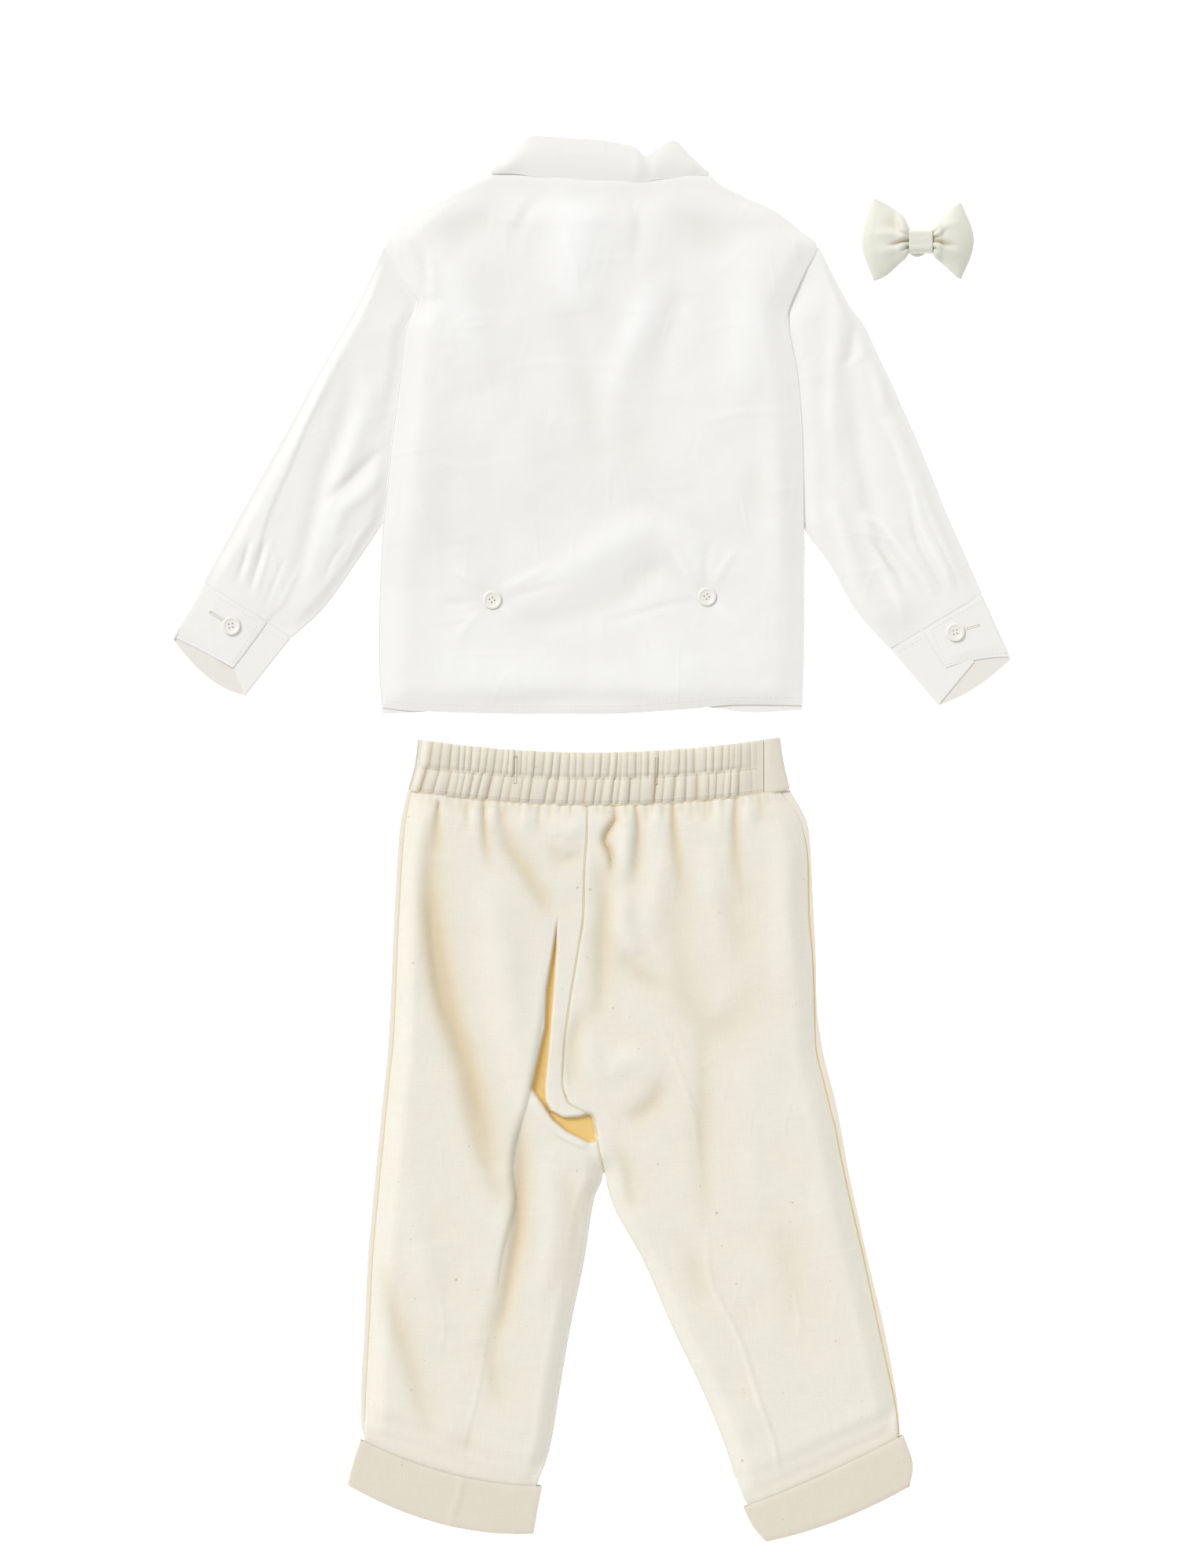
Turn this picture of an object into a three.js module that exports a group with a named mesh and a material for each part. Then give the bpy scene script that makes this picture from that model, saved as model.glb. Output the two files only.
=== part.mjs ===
// A child's shirt, trousers and bow tie laid flat and seen from the back, in millimetres, +Z up.
// The origin is on the surface they lie on, under the middle of the whole set.
import * as THREE from "three";

// Driving sizes: cloth walls, the gap between pieces, and fastenings
const SHIRT_WALL = 1.0;
const COLLAR_WALL = 1.2;
const CUFF_WALL = 1.2;
const TROUSER_WALL = 1.2;
const BOW_WALL = 1.0;
const GAP = 0.3;
const BUTTON_DIAMETER = 12;
const BUTTON_THICKNESS = 2.2;
const BUTTON_RIM = 0.7;
const UPPER_GATHERS = 46;
const LOWER_GATHERS = 35;
const GATHER_DEPTH = 2;
const CLIP_DIAMETER = 14;
const CLIP_THICKNESS = 1.2;

// Heights that follow from the walls: a second layer lies on the first
const SHIRT_BACK_BASE = SHIRT_WALL + GAP;
const SLEEVE_PRESSED = 2 * SHIRT_WALL + 2 * GAP;
const COLLAR_LEAF_LIFT = COLLAR_WALL + GAP;
const PLACKET_LIFT = SHIRT_WALL + 2 * GAP;
const PLACKET_HALF_LAP = 7;
const TROUSER_BACK_BASE = TROUSER_WALL + GAP;

const SHIRT_WHITE = { color: 0xf7f6f3, roughness: 0.8, metalness: 0 };
const TROUSER_CREAM = { color: 0xeee6d3, roughness: 0.85, metalness: 0 };
const BOW_IVORY = { color: 0xf1efe3, roughness: 0.5, metalness: 0 };
const BUTTON_PEARL = { color: 0xf4f1ea, roughness: 0.25, metalness: 0 };

// Turns rows of numbers into objects named by the heading
function table(heading, rows) {
  const names = heading.split(" ");
  return rows.map((row) => Object.fromEntries(names.map((name, i) => [name, row[i]])));
}

const clamp = (value, low, high) => Math.min(high, Math.max(low, value));
const mix = (a, b, share) => a + (b - a) * share;
const ease = (from, to, value) => {
  const t = clamp((value - from) / (to - from), 0, 1);
  return t * t * (3 - 2 * t);
};

// A smooth curve through rows that never overshoots them, read at any value of the first column
function curve(rows, from, to) {
  const points = rows.map((row) => [row[from], row[to]]).sort((a, b) => a[0] - b[0]);
  const slopes = points.slice(1).map((p, i) => (p[1] - points[i][1]) / (p[0] - points[i][0]));
  const tangents = points.map((_, i) => {
    const before = slopes[Math.max(i - 1, 0)];
    const after = slopes[Math.min(i, slopes.length - 1)];
    return before * after > 0 ? (2 * before * after) / (before + after) : 0;
  });
  return (value) => {
    const x = clamp(value, points[0][0], points.at(-1)[0]);
    let i = points.findIndex((p) => p[0] >= x) - 1;
    if (i < 0) i = 0;
    const step = points[i + 1][0] - points[i][0];
    const t = (x - points[i][0]) / step;
    const a = (1 + 2 * t) * (1 - t) ** 2 * points[i][1];
    const b = t * (1 - t) ** 2 * step * tangents[i];
    const c = t * t * (3 - 2 * t) * points[i + 1][1];
    const d = t * t * (t - 1) * step * tangents[i + 1];
    return a + b + c + d;
  };
}

// Gives each section line its distance down the panel's middle
function measured(rows) {
  let length = 0;
  return rows.map((row, i) => {
    const last = rows[Math.max(i - 1, 0)];
    const dx = row.leftX + row.rightX - last.leftX - last.rightX;
    const dy = row.leftY + row.rightY - last.leftY - last.rightY;
    length += Math.hypot(dx, dy) / 2;
    return { sag: 0, ...row, length };
  });
}

// Shares down a panel: each section line, and enough between them to stay within a spacing
function rowShares(rows, spacing) {
  const lengths = measured(rows).map((row) => row.length);
  const total = lengths.at(-1);
  return lengths.flatMap((from, i) => {
    if (i === lengths.length - 1) return [1];
    const parts = Math.max(1, Math.round((lengths[i + 1] - from) / spacing));
    return shares(parts).slice(0, -1).map((share) => mix(from, lengths[i + 1], share) / total);
  });
}

// Section lines down a panel, each from a left to a right point, with a sag at its middle:
// returns a function of the share down and the share across
function sectionLines(rows) {
  const lines = measured(rows);
  const length = lines.at(-1).length;
  const column = (name) => curve(lines, "length", name);
  const [leftX, leftY] = [column("leftX"), column("leftY")];
  const [rightX, rightY] = [column("rightX"), column("rightY")];
  const sag = column("sag");
  return (down, across) => {
    const at = down * length;
    const x = mix(leftX(at), rightX(at), across);
    const y = mix(leftY(at), rightY(at), across) - sag(at) * 4 * across * (1 - across);
    return [x, y];
  };
}

const shares = (count) => Array.from({ length: count + 1 }, (_, i) => i / count);

// Height of soft folds at a place: each fold is a bent line, negative for a trough
function foldHeight(folds, x, y) {
  let height = 0;
  for (const fold of folds) {
    let nearest = Infinity;
    for (let i = 0; i + 3 < fold.path.length; i += 2) {
      const [ax, ay, bx, by] = fold.path.slice(i, i + 4);
      const length = (bx - ax) ** 2 + (by - ay) ** 2;
      const t = clamp(((x - ax) * (bx - ax) + (y - ay) * (by - ay)) / length, 0, 1);
      nearest = Math.min(nearest, Math.hypot(x - ax - t * (bx - ax), y - ay - t * (by - ay)));
    }
    height += fold.height * Math.exp(-((nearest / fold.width) ** 2));
  }
  return height;
}

// Closes two grids of points, rows down and columns across, into one solid;
// a closed one runs round, such as a sleeve
function solid(over, under, closed = false) {
  const rows = over.length;
  const columns = over[0].length;
  const faces = [];
  const at = (layer, row, column) => (layer * rows + row) * columns + (column % columns);
  const quad = (a, b, c, d) => faces.push(a, b, c, a, c, d);
  const last = closed ? columns : columns - 1;
  for (let c = 0; c < last; c += 1) {
    for (let r = 0; r < rows - 1; r += 1) {
      quad(at(0, r, c), at(0, r + 1, c), at(0, r + 1, c + 1), at(0, r, c + 1));
      quad(at(1, r, c), at(1, r, c + 1), at(1, r + 1, c + 1), at(1, r + 1, c));
    }
    const end = rows - 1;
    quad(at(0, 0, c), at(0, 0, c + 1), at(1, 0, c + 1), at(1, 0, c));
    quad(at(0, end, c), at(1, end, c), at(1, end, c + 1), at(0, end, c + 1));
  }
  if (!closed) {
    const end = columns - 1;
    for (let r = 0; r < rows - 1; r += 1) {
      quad(at(0, r, 0), at(1, r, 0), at(1, r + 1, 0), at(0, r + 1, 0));
      quad(at(0, r, end), at(0, r + 1, end), at(1, r + 1, end), at(1, r, end));
    }
  }
  return indexed([over, under].flat(3), faces);
}

// Points three numbers at a time, and the faces that join them
function indexed(numbers, faces) {
  const geometry = new THREE.BufferGeometry();
  geometry.setAttribute("position", new THREE.Float32BufferAttribute(numbers, 3));
  geometry.setIndex(faces);
  geometry.computeVertexNormals();
  return geometry;
}

// Gives a grid its wall: each point moved out along the grid's own normal
function thicken(under, wall, closed = false) {
  const columns = under[0].length;
  const point = (r, c) => new THREE.Vector3(...under[r][c]);
  const over = under.map((row, r) =>
    row.map((_, c) => {
      const up = Math.max(r - 1, 0);
      const down = Math.min(r + 1, under.length - 1);
      const before = closed ? (c + columns - 1) % columns : Math.max(c - 1, 0);
      const after = closed ? (c + 1) % columns : Math.min(c + 1, columns - 1);
      const across = point(r, after).sub(point(r, before));
      const along = point(down, c).sub(point(up, c));
      const normal = along.cross(across).normalize();
      return point(r, c).addScaledVector(normal, wall).toArray();
    }),
  );
  return solid(over, under, closed);
}

// A panel on a grid of shares down and across: its under side at a height, its wall out from it
function panel(rows, columns, place, height, wall) {
  const under = rows.map((down) =>
    columns.map((across) => {
      const [x, y] = place(down, across);
      return [x, y, height(x, y, down, across)];
    }),
  );
  return thicken(under, wall);
}

// Where a pressed tube's inner face has its points: across the top, then back along the bottom
const TUBE_TOP = [0.03, 0.15, 0.3, 0.45, 0.6, 0.75, 0.88, 0.97];
const TUBE_BOTTOM = [0.97, 0.5, 0.03];

// A pressed tube of cloth on section lines, its lower face flat, its top raised by folds
function pressedTube(rows, place, wall, hollow, height) {
  const inner = rows.map((down) => {
    const [ax, ay] = place(down, 0);
    const [bx, by] = place(down, 1);
    const inset = wall / Math.hypot(bx - ax, by - ay);
    const spread = (across) => place(down, mix(inset, 1 - inset, across));
    const side = [0.05, 0.95].map((share) => wall + share * hollow);
    const top = TUBE_TOP.map((across) => {
      const [x, y] = spread(across);
      return [x, y, wall + hollow + height(x, y, down, across)];
    });
    const under = TUBE_BOTTOM.map((across) => [...spread(across), wall]);
    const left = side.map((z) => [...spread(0), z]);
    const right = side.map((z) => [...spread(1), z]).reverse();
    return [...left, ...top, ...right, ...under];
  });
  return thicken(inner, wall, true);
}

// The tables are drawn from the photo's middle; the set's own middle lies a little off it
const SET_MIDDLE = { x: 0.29, y: -0.225 };
const group = new THREE.Group();
group.position.set(-SET_MIDDLE.x, -SET_MIDDLE.y, 0);
function add(name, geometry, look) {
  const mesh = new THREE.Mesh(geometry, new THREE.MeshStandardMaterial(look));
  mesh.name = name;
  group.add(mesh);
  return mesh;
}

// SHIRT

// The back's outline from the neck points over the shoulders and armholes to the hem
const SHIRT_OUTLINE = table("y left right", [
  [421.5, -65.5, 76.5],
  [417, -74, 80.5],
  [406.5, -96, 101.5],
  [399.5, -109, 116],
  [385.5, -125.5, 134],
  [376.5, -131.5, 143.6],
  [360.5, -122, 136.4],
  [346.5, -113.5, 130],
  [340.5, -109.8, 127.4],
  [333, -113, 125],
  [324, -118, 125.5],
  [293.5, -121.5, 131],
  [255, -126.5, 134],
  [236, -128.5, 134.5],
  [188, -133, 135],
  [138, -135, 135.5],
  [108, -135, 135],
  [80.5, -133, 134],
]);

// Sleeves from the armhole to the cuff seam
const SLEEVE_LEFT = table("leftX leftY rightX rightY", [
  [-132, 376, -110.4, 339.8],
  [-146, 344.5, -104, 313],
  [-162.5, 315, -106.5, 289.5],
  [-178, 288, -110.5, 257.5],
  [-191.5, 263, -117.5, 229.5],
  [-205.5, 238, -131.5, 202.5],
  [-221.5, 209, -149, 176],
  [-235.5, 183, -169.5, 145],
  [-246.5, 163, -190.5, 127.4],
]);
const SLEEVE_RIGHT = table("leftX leftY rightX rightY", [
  [128.2, 339.8, 144.4, 375.5],
  [120.5, 313, 165, 337],
  [119, 301, 172.5, 327],
  [118.5, 288, 180.5, 310.5],
  [122.5, 255.5, 193.5, 283],
  [127.5, 228, 205, 257],
  [134.5, 199, 215.5, 232],
  [151, 175, 225, 208],
  [168, 145, 236.5, 182],
  [190, 120, 248.5, 155],
]);

// Collar, seen from the back: its fold along the top, its leaf's edge and its neck seam under it
const COLLAR_BACK = table("x fold leaf seam", [
  [-62.8, 425.5, 422, 421.5],
  [-51, 435.5, 421.8, 421.5],
  [-36.5, 447, 420, 420.5],
  [-14.5, 445.5, 417, 419],
  [2.5, 444.5, 414.5, 417.5],
  [18.5, 442, 414.5, 417.5],
  [28, 439.5, 415.5, 417.5],
  [34.5, 434, 416.8, 418],
  [41, 438, 418, 418.5],
  [52.5, 444, 419.3, 420],
  [63, 434.5, 420.5, 421],
  [73.8, 424.5, 421, 421],
]);
const COLLAR_STATIONS = [-56, -47, -36.5, -25, -10, 4, 17, 26, 34.5, 42, 52.5, 60, 68];
// Its front half lies under it, dropping to the points at the front
const COLLAR_FRONT = table("fromMiddle fold leaf seam", [
  [1, 412, 400, 392],
  [14, 414, 381, 396],
  [30, 420, 393, 404],
  [50, 428, 411, 414],
  [67, 425, 421.8, 421.3],
]);

// Broad soft folds of the shirt's back: middle lines, half width and height
const SHIRT_FOLDS = [
  { path: [-12, 412, -10, 372, 2, 350], width: 16, height: 2.2 },
  { path: [-98, 396, -86, 372], width: 14, height: -1.4 },
  { path: [84, 404, 94, 378], width: 14, height: -1.4 },
  { path: [35, 346, 24, 318, 14, 287], width: 8, height: 1.8 },
  { path: [-6, 292, 0, 250], width: 12, height: -1.8 },
  { path: [-70, 300, -58, 240, -50, 200], width: 24, height: 1.6 },
  { path: [70, 300, 66, 250, 56, 210], width: 22, height: 1.6 },
  { path: [-47, 154, -1, 175, 35, 200, 61, 185], width: 9, height: 2.2 },
  { path: [-52, 143, 0, 158, 50, 178, 72, 160], width: 7, height: -1.2 },
  { path: [-104, 280, -106, 170], width: 9, height: 0.9 },
  { path: [108, 262, 110, 180], width: 8, height: 0.9 },
];
const BACK_BUTTONS = table("name x y", [
  ["back_button_left", -63, 151],
  ["back_button_right", 73.5, 153],
]);
const BUTTON_PULL = { width: 9, depth: 1.6 };
const BACK_PUFF = 2.4;

const shirtLeft = curve(SHIRT_OUTLINE, "y", "left");
const shirtRight = curve(SHIRT_OUTLINE, "y", "right");
const sleeveInnerLeft = curve(SLEEVE_LEFT, "rightY", "rightX");
const sleeveInnerRight = curve(SLEEVE_RIGHT, "leftY", "leftX");
const frontLeaf = curve(COLLAR_FRONT, "fromMiddle", "leaf");
const frontSeam = curve(COLLAR_FRONT, "fromMiddle", "seam");
const backSeam = curve(COLLAR_BACK, "x", "seam");
const NECK_MIDDLE = (SHIRT_OUTLINE[0].left + SHIRT_OUTLINE[0].right) / 2;

// How far the sleeves and the collar's front leaf, lying below, lift the body
function shirtLift(x, y) {
  const beside = ease(186, 198, y) * (1 - ease(341, 352, y));
  const left = ease(sleeveInnerLeft(y) + 17, sleeveInnerLeft(y) + 7, x);
  const right = ease(sleeveInnerRight(y) - 17, sleeveInnerRight(y) - 7, x);
  const leafEdge = frontLeaf(Math.max(Math.abs(x - NECK_MIDDLE), COLLAR_FRONT[1].fromMiddle));
  const leaf = ease(leafEdge - 17, leafEdge - 7, y) * ease(82, 73, Math.abs(x - NECK_MIDDLE));
  return Math.max(SLEEVE_PRESSED * beside * Math.max(left, right), COLLAR_LEAF_LIFT * leaf);
}

const placketLift = (x) =>
  PLACKET_LIFT * ease(-PLACKET_HALF_LAP - 6, -PLACKET_HALF_LAP - 1, x) *
  ease(PLACKET_HALF_LAP + 8, PLACKET_HALF_LAP + 2, x);

// The soft rise of the back above what it lies on, pulled down at its buttons
function shirtPuff(x, y) {
  const across = Math.min(x - shirtLeft(y), shirtRight(y) - x);
  const free = ease(0, 18, across) * ease(80, 96, y) * ease(415, 390, y);
  const pull = BACK_BUTTONS.reduce((sum, b) => {
    const away = Math.hypot(x - b.x, y - b.y) / BUTTON_PULL.width;
    return sum + BUTTON_PULL.depth * Math.exp(-(away ** 2));
  }, 0);
  return free * Math.max(BACK_PUFF + foldHeight(SHIRT_FOLDS, x, y) - pull, 0.5);
}

// The back clears the fronts a little more over the collar's front leaf
const shirtBackUnder = (x, y) =>
  SHIRT_BACK_BASE + shirtLift(x, y) + placketLift(x) + shirtPuff(x, y) + 1.5 * GAP * ease(385, 400, y);

// Rows of a body panel as shares down, closer where the outline turns
const bodyRows = SHIRT_OUTLINE.flatMap((row, i) => {
  const next = SHIRT_OUTLINE[i + 1];
  if (!next) return [row.y];
  const parts = Math.max(1, Math.round((row.y - next.y) / 18));
  return shares(parts).slice(0, -1).map((share) => mix(row.y, next.y, share));
});
const backHem = curve(table("x y", [
  [-133, 82.5], [-114, 80.5], [-40, 78.5], [7, 78.5], [60, 81.5], [95, 84.5], [134, 84],
]), "x", "y");
const frontHem = curve(table("x y", [
  [-133, 78.5], [-114, 79.5], [-70, 82], [60, 84], [104, 79.5], [134, 81],
]), "x", "y");

// A body panel between two edges, its top row on the neck seam and its last on the hem
function bodyPlace(leftEdge, rightEdge, neck, hem) {
  const top = SHIRT_OUTLINE[0].y;
  const bottom = SHIRT_OUTLINE.at(-1).y;
  return (y, across) => {
    const x = mix(leftEdge(y), rightEdge(y), across);
    const toNeck = (neck(x) - GAP - top) * ease(bottom + 250, top, y) ** 3;
    const toHem = (hem(x) - bottom) * ease(bottom + 40, bottom, y);
    return [x, y + toNeck + toHem];
  };
}

const frontNeck = (x) => frontSeam(Math.abs(x - NECK_MIDDLE)) - 3 * GAP;

function makeShirtBody() {
  const backPlace = bodyPlace(shirtLeft, shirtRight, backSeam, backHem);
  add("shirt_back", panel(bodyRows, shares(20), backPlace, shirtBackUnder, SHIRT_WALL), SHIRT_WHITE);
  const lap = (side) => () => side * PLACKET_HALF_LAP;
  const leftPlace = bodyPlace(shirtLeft, lap(1), frontNeck, frontHem);
  const rightPlace = bodyPlace(lap(-1), shirtRight, frontNeck, frontHem);
  const frontColumns = [0, 0.07, 0.14, 0.24, 0.42, 0.6, 0.72, 0.84, 0.9, 1];
  const overLap = (x, y) => shirtLift(x, y) + placketLift(x);
  const mirrored = frontColumns.map((share) => 1 - share).reverse();
  add("shirt_front_left", panel(bodyRows, frontColumns, leftPlace, overLap, SHIRT_WALL), SHIRT_WHITE);
  add("shirt_front_right", panel(bodyRows, mirrored, rightPlace, shirtLift, SHIRT_WALL), SHIRT_WHITE);
}

// Folds of the sleeves: the long pressed crease, pleats at the cuff and soft valleys
const SLEEVE_FOLDS = [
  { path: [-161, 312, -181, 263, -205, 204, -213, 172], width: 5, height: 2 },
  { path: [-150, 320, -170, 270, -190, 214], width: 7, height: -1 },
  { path: [-138, 241, -158, 223, -166, 216], width: 5, height: 1.6 },
  { path: [-211, 189, -222, 168], width: 3, height: 1.4 },
  { path: [-205, 180, -214, 155], width: 3, height: 1.4 },
  { path: [182, 267, 200, 229, 220, 180, 229, 156], width: 5, height: 2 },
  { path: [166, 300, 178, 250, 196, 200], width: 8, height: -1 },
  { path: [197, 189, 208, 169, 216, 156], width: 3, height: 1.5 },
  { path: [164, 335, 168, 300], width: 5, height: -1.2 },
  { path: [150, 300, 146, 240], width: 7, height: 1.2 },
];

function sleeveHeight(x, y, down, across) {
  const free = ease(0, 0.12, down) * ease(1, 0.93, down) * ease(0, 0.2, across) * ease(1, 0.8, across);
  const edge = x < 0 ? shirtLeft(y) - x : x - shirtRight(y);
  const clear = 1 - ease(24, 11, edge) * ease(165, 195, y);
  return free * clear * Math.max(1.6 + foldHeight(SLEEVE_FOLDS, x, y), 0.2);
}

function makeSleeves() {
  const left = pressedTube(shares(14), sectionLines(SLEEVE_LEFT), SHIRT_WALL, GAP, sleeveHeight);
  const right = pressedTube(shares(14), sectionLines(SLEEVE_RIGHT), SHIRT_WALL, GAP, sleeveHeight);
  add("sleeve_left", left, SHIRT_WHITE);
  add("sleeve_right", right, SHIRT_WHITE);
}

// Each cuff is one band wrapped round: overlap on top, round the outer fold, below, and back as the underlap.
// Its corners are the ends of the cuff seam and of the two hem lines
const CUFFS = [
  {
    name: "cuff_left",
    button: { name: "cuff_button_left", x: -229, y: 134.5 },
    seam: [-247.2, 162.2, -190.8, 126.6],
    hemBelow: [-267, 127.2, -220, 90.5],
    belowSag: 7.5,
    hemAbove: [-267, 128, -220, 103],
    aboveSag: -1,
    hemUnder: [-260, 120, -220.5, 91],
    overlapEnd: 0.7,
    underlapEnd: 0.5,
    outerFirst: true,
  },
  {
    name: "cuff_right",
    button: { name: "cuff_button_right", x: 231.5, y: 130.5 },
    seam: [249.2, 154.4, 190.2, 119.2],
    hemBelow: [267.5, 114, 220.5, 84],
    belowSag: 4,
    hemAbove: [267.5, 115, 214, 103.5],
    aboveSag: -3,
    hemUnder: [259, 108, 221, 84.5],
    overlapEnd: 0.68,
    underlapEnd: 0.5,
    outerFirst: false,
  },
];

// Points round a cuff's inner face: which hem line they run to, share from the outer fold, and layer
function cuffRound(cuff) {
  const below = CUFF_WALL;
  const under = 2 * below + GAP;
  const above = under + below + 1.5 * GAP;
  const top = shares(6).map((s) => ["Above", mix(cuff.overlapEnd, 0.045, s), above]);
  const bottom = shares(5).map((s) => ["Below", mix(0.045, 0.955, s), below]);
  const back = shares(5).map((s) => ["Under", mix(0.955, cuff.underlapEnd, s), under]);
  const fold = ["Below", 0.02, (above + below) / 2];
  const inner = ["Below", 0.98, (under + below) / 2];
  return [...top, fold, ...bottom, inner, ...back];
}

function cuffPlace(cuff, hem, across, down) {
  const line = cuff["hem" + hem];
  const bend = hem === "Below" ? cuff.belowSag : hem === "Above" ? cuff.aboveSag : 0;
  const curved = bend * 4 * across * (1 - across);
  const x = mix(mix(cuff.seam[0], cuff.seam[2], across), mix(line[0], line[2], across), down);
  const y = mix(mix(cuff.seam[1], cuff.seam[3], across), mix(line[1], line[3], across) - curved, down);
  return [x, y];
}

function makeCuff(cuff) {
  const round = cuffRound(cuff);
  const rows = shares(5).map((down) =>
    round.map(([hem, across, z]) => {
      const puff = hem === "Above" ? 0.6 * Math.sin(Math.PI * clamp(across / cuff.overlapEnd, 0, 1)) : 0;
      return [...cuffPlace(cuff, hem, across, down), z + puff];
    }),
  );
  const points = cuff.outerFirst ? rows.map((row) => row.reverse()) : rows;
  add(cuff.name, thicken(points, CUFF_WALL), SHIRT_WHITE);
  const height = cuffRound(cuff)[0][2] + CUFF_WALL + 0.6 + GAP;
  addButton(cuff.button.name, cuff.button.x, cuff.button.y, height);
}

// A shirt button: a dished disc with a rounded rim
function addButton(name, x, y, z) {
  const radius = BUTTON_DIAMETER / 2;
  const profile = [
    [0, 0],
    [radius - 0.8, 0],
    [radius, BUTTON_RIM],
    [radius, BUTTON_THICKNESS - 0.6],
    [radius - 0.6, BUTTON_THICKNESS],
    [radius - 1.7, BUTTON_THICKNESS - 0.1],
    [radius - 2.2, BUTTON_THICKNESS - 0.8],
    [0, BUTTON_THICKNESS - 0.8],
  ];
  const lathe = new THREE.LatheGeometry(profile.map(([r, h]) => new THREE.Vector2(r, h)), 16);
  lathe.rotateX(Math.PI / 2);
  const mesh = add(name, lathe, BUTTON_PEARL);
  mesh.position.set(x, y, z);
}

// The back's buttons stand on the highest cloth round them
function makeBackButtons() {
  const ring = BUTTON_DIAMETER / 2 + 1;
  for (const b of BACK_BUTTONS) {
    const heights = shares(8).map((s) => {
      const angle = 2 * Math.PI * s;
      return shirtBackUnder(b.x + ring * Math.cos(angle), b.y + ring * Math.sin(angle));
    });
    addButton(b.name, b.x, b.y, Math.max(...heights) + SHIRT_WALL + 2 * GAP);
  }
}

// The collar is one folded band swept round the flattened neck: each station is a hairpin,
// the stand inside and the leaf outside
function collarStation(x, z, out, row, puff) {
  const wall = COLLAR_WALL;
  const leafIn = wall + GAP;
  const leafOut = 2 * wall + GAP;
  const inside = row.fold - wall - 1.4;
  const middle = mix(row.leaf, inside, 0.5);
  const outline = [
    [0, row.seam],
    [0, row.fold - 1.4],
    [0.6 * wall, row.fold - 0.4],
    [1.2 * wall, row.fold],
    [leafOut - 0.4, row.fold - 0.4],
    [leafOut + 0.4 * puff, row.fold - 1.4],
    [leafOut + puff, middle],
    [leafOut, row.leaf],
    [leafIn, row.leaf],
    [leafIn + puff, middle],
    [leafIn, inside + 0.2],
    [wall, inside],
    [wall, row.seam],
  ];
  return outline.reverse().map(([n, y]) => [x + out[0] * n, y, z + out[1] * n]);
}

function makeCollar() {
  const inner = 2 * COLLAR_WALL + GAP;
  const back = inner + GAP;
  const tipLeft = COLLAR_BACK[0];
  const tipRight = COLLAR_BACK.at(-1);
  const backFold = curve(COLLAR_BACK, "x", "fold");
  const backLeaf = curve(COLLAR_BACK, "x", "leaf");
  const front = (fromMiddle) => {
    const row = { fromMiddle };
    for (const name of ["fold", "leaf", "seam"]) {
      row[name] = curve(COLLAR_FRONT, "fromMiddle", name)(fromMiddle);
    }
    return row;
  };
  const stations = [];
  const leftReach = NECK_MIDDLE - tipLeft.x;
  const rightReach = tipRight.x - NECK_MIDDLE;
  for (const share of shares(5).slice(0, -1)) {
    const from = mix(1, leftReach, share);
    stations.push(collarStation(NECK_MIDDLE - from, inner, [0, -1], front(from), 0));
  }
  const turn = (tip, side) => shares(4).map((share) => {
    const angle = Math.PI * (side < 0 ? share : 1 - share) - Math.PI / 2;
    const out = [side * Math.cos(angle), Math.sin(angle)];
    const z = (inner + back) / 2 + out[1] * GAP / 2;
    return collarStation(tip.x + out[0] * GAP / 2, z, out, tip, 0);
  });
  stations.push(...turn(tipLeft, -1));
  for (const x of COLLAR_STATIONS) {
    const row = { fold: backFold(x), leaf: backLeaf(x), seam: backSeam(x) };
    const rise = PLACKET_LIFT * ease(60, 30, Math.abs(x - NECK_MIDDLE));
    stations.push(collarStation(x, back + rise, [0, 1], row, 1.4));
  }
  stations.push(...turn(tipRight, 1));
  for (const share of shares(5).slice(0, -1).reverse()) {
    const from = mix(1, rightReach, share);
    stations.push(collarStation(NECK_MIDDLE + from, inner, [0, -1], front(from), 0));
  }
  add("collar", sweep(stations), SHIRT_WHITE);
}

// Joins closed outlines into a solid, with triangulated ends
function sweep(stations) {
  const count = stations[0].length;
  const faces = [];
  for (let s = 0; s < stations.length - 1; s += 1) {
    for (let i = 0; i < count; i += 1) {
      const [a, b] = [s * count + i, s * count + ((i + 1) % count)];
      faces.push(a, a + count, b + count, a, b + count, b);
    }
  }
  const flat = (station) => {
    const [first] = station;
    const away = station.map((p) => [p[0] - first[0], p[2] - first[2]]);
    const far = away.reduce((a, b) => (Math.hypot(...b) > Math.hypot(...a) ? b : a));
    return station.map((p, i) => new THREE.Vector2(away[i][0] * far[0] + away[i][1] * far[1], p[1]));
  };
  const cap = (s, facing) => {
    const outline = flat(stations[s]);
    const wanted = Math.sign(THREE.ShapeUtils.area(outline)) * facing;
    for (const [a, b, c] of THREE.ShapeUtils.triangulateShape(outline, [])) {
      const turned = Math.sign(THREE.ShapeUtils.area([outline[a], outline[b], outline[c]])) !== wanted;
      const corners = turned ? [a, c, b] : [a, b, c];
      faces.push(...corners.map((corner) => s * count + corner));
    }
  };
  cap(0, 1);
  cap(stations.length - 1, -1);
  return indexed(stations.flat(2), faces);
}

// TROUSERS

// Waistband rows: top edge, casing stitch and waist seam, each sagging at its middle
const WAIST = table("leftX leftY rightX rightY sag", [
  [-110.5, 62.5, 120, 64, 9],
  [-112.5, 46.5, 122.5, 48, 8.5],
  [-117, 30, 126.5, 30.5, 9.7],
]);
const FRONT_BAND_ON_BACK = 110;

const waistSeamY = (x) => {
  const seam = WAIST.at(-1);
  const share = (x - seam.leftX) / (seam.rightX - seam.leftX);
  return mix(seam.leftY, seam.rightY, share) - seam.sag * 4 * share * (1 - share);
};

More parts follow.
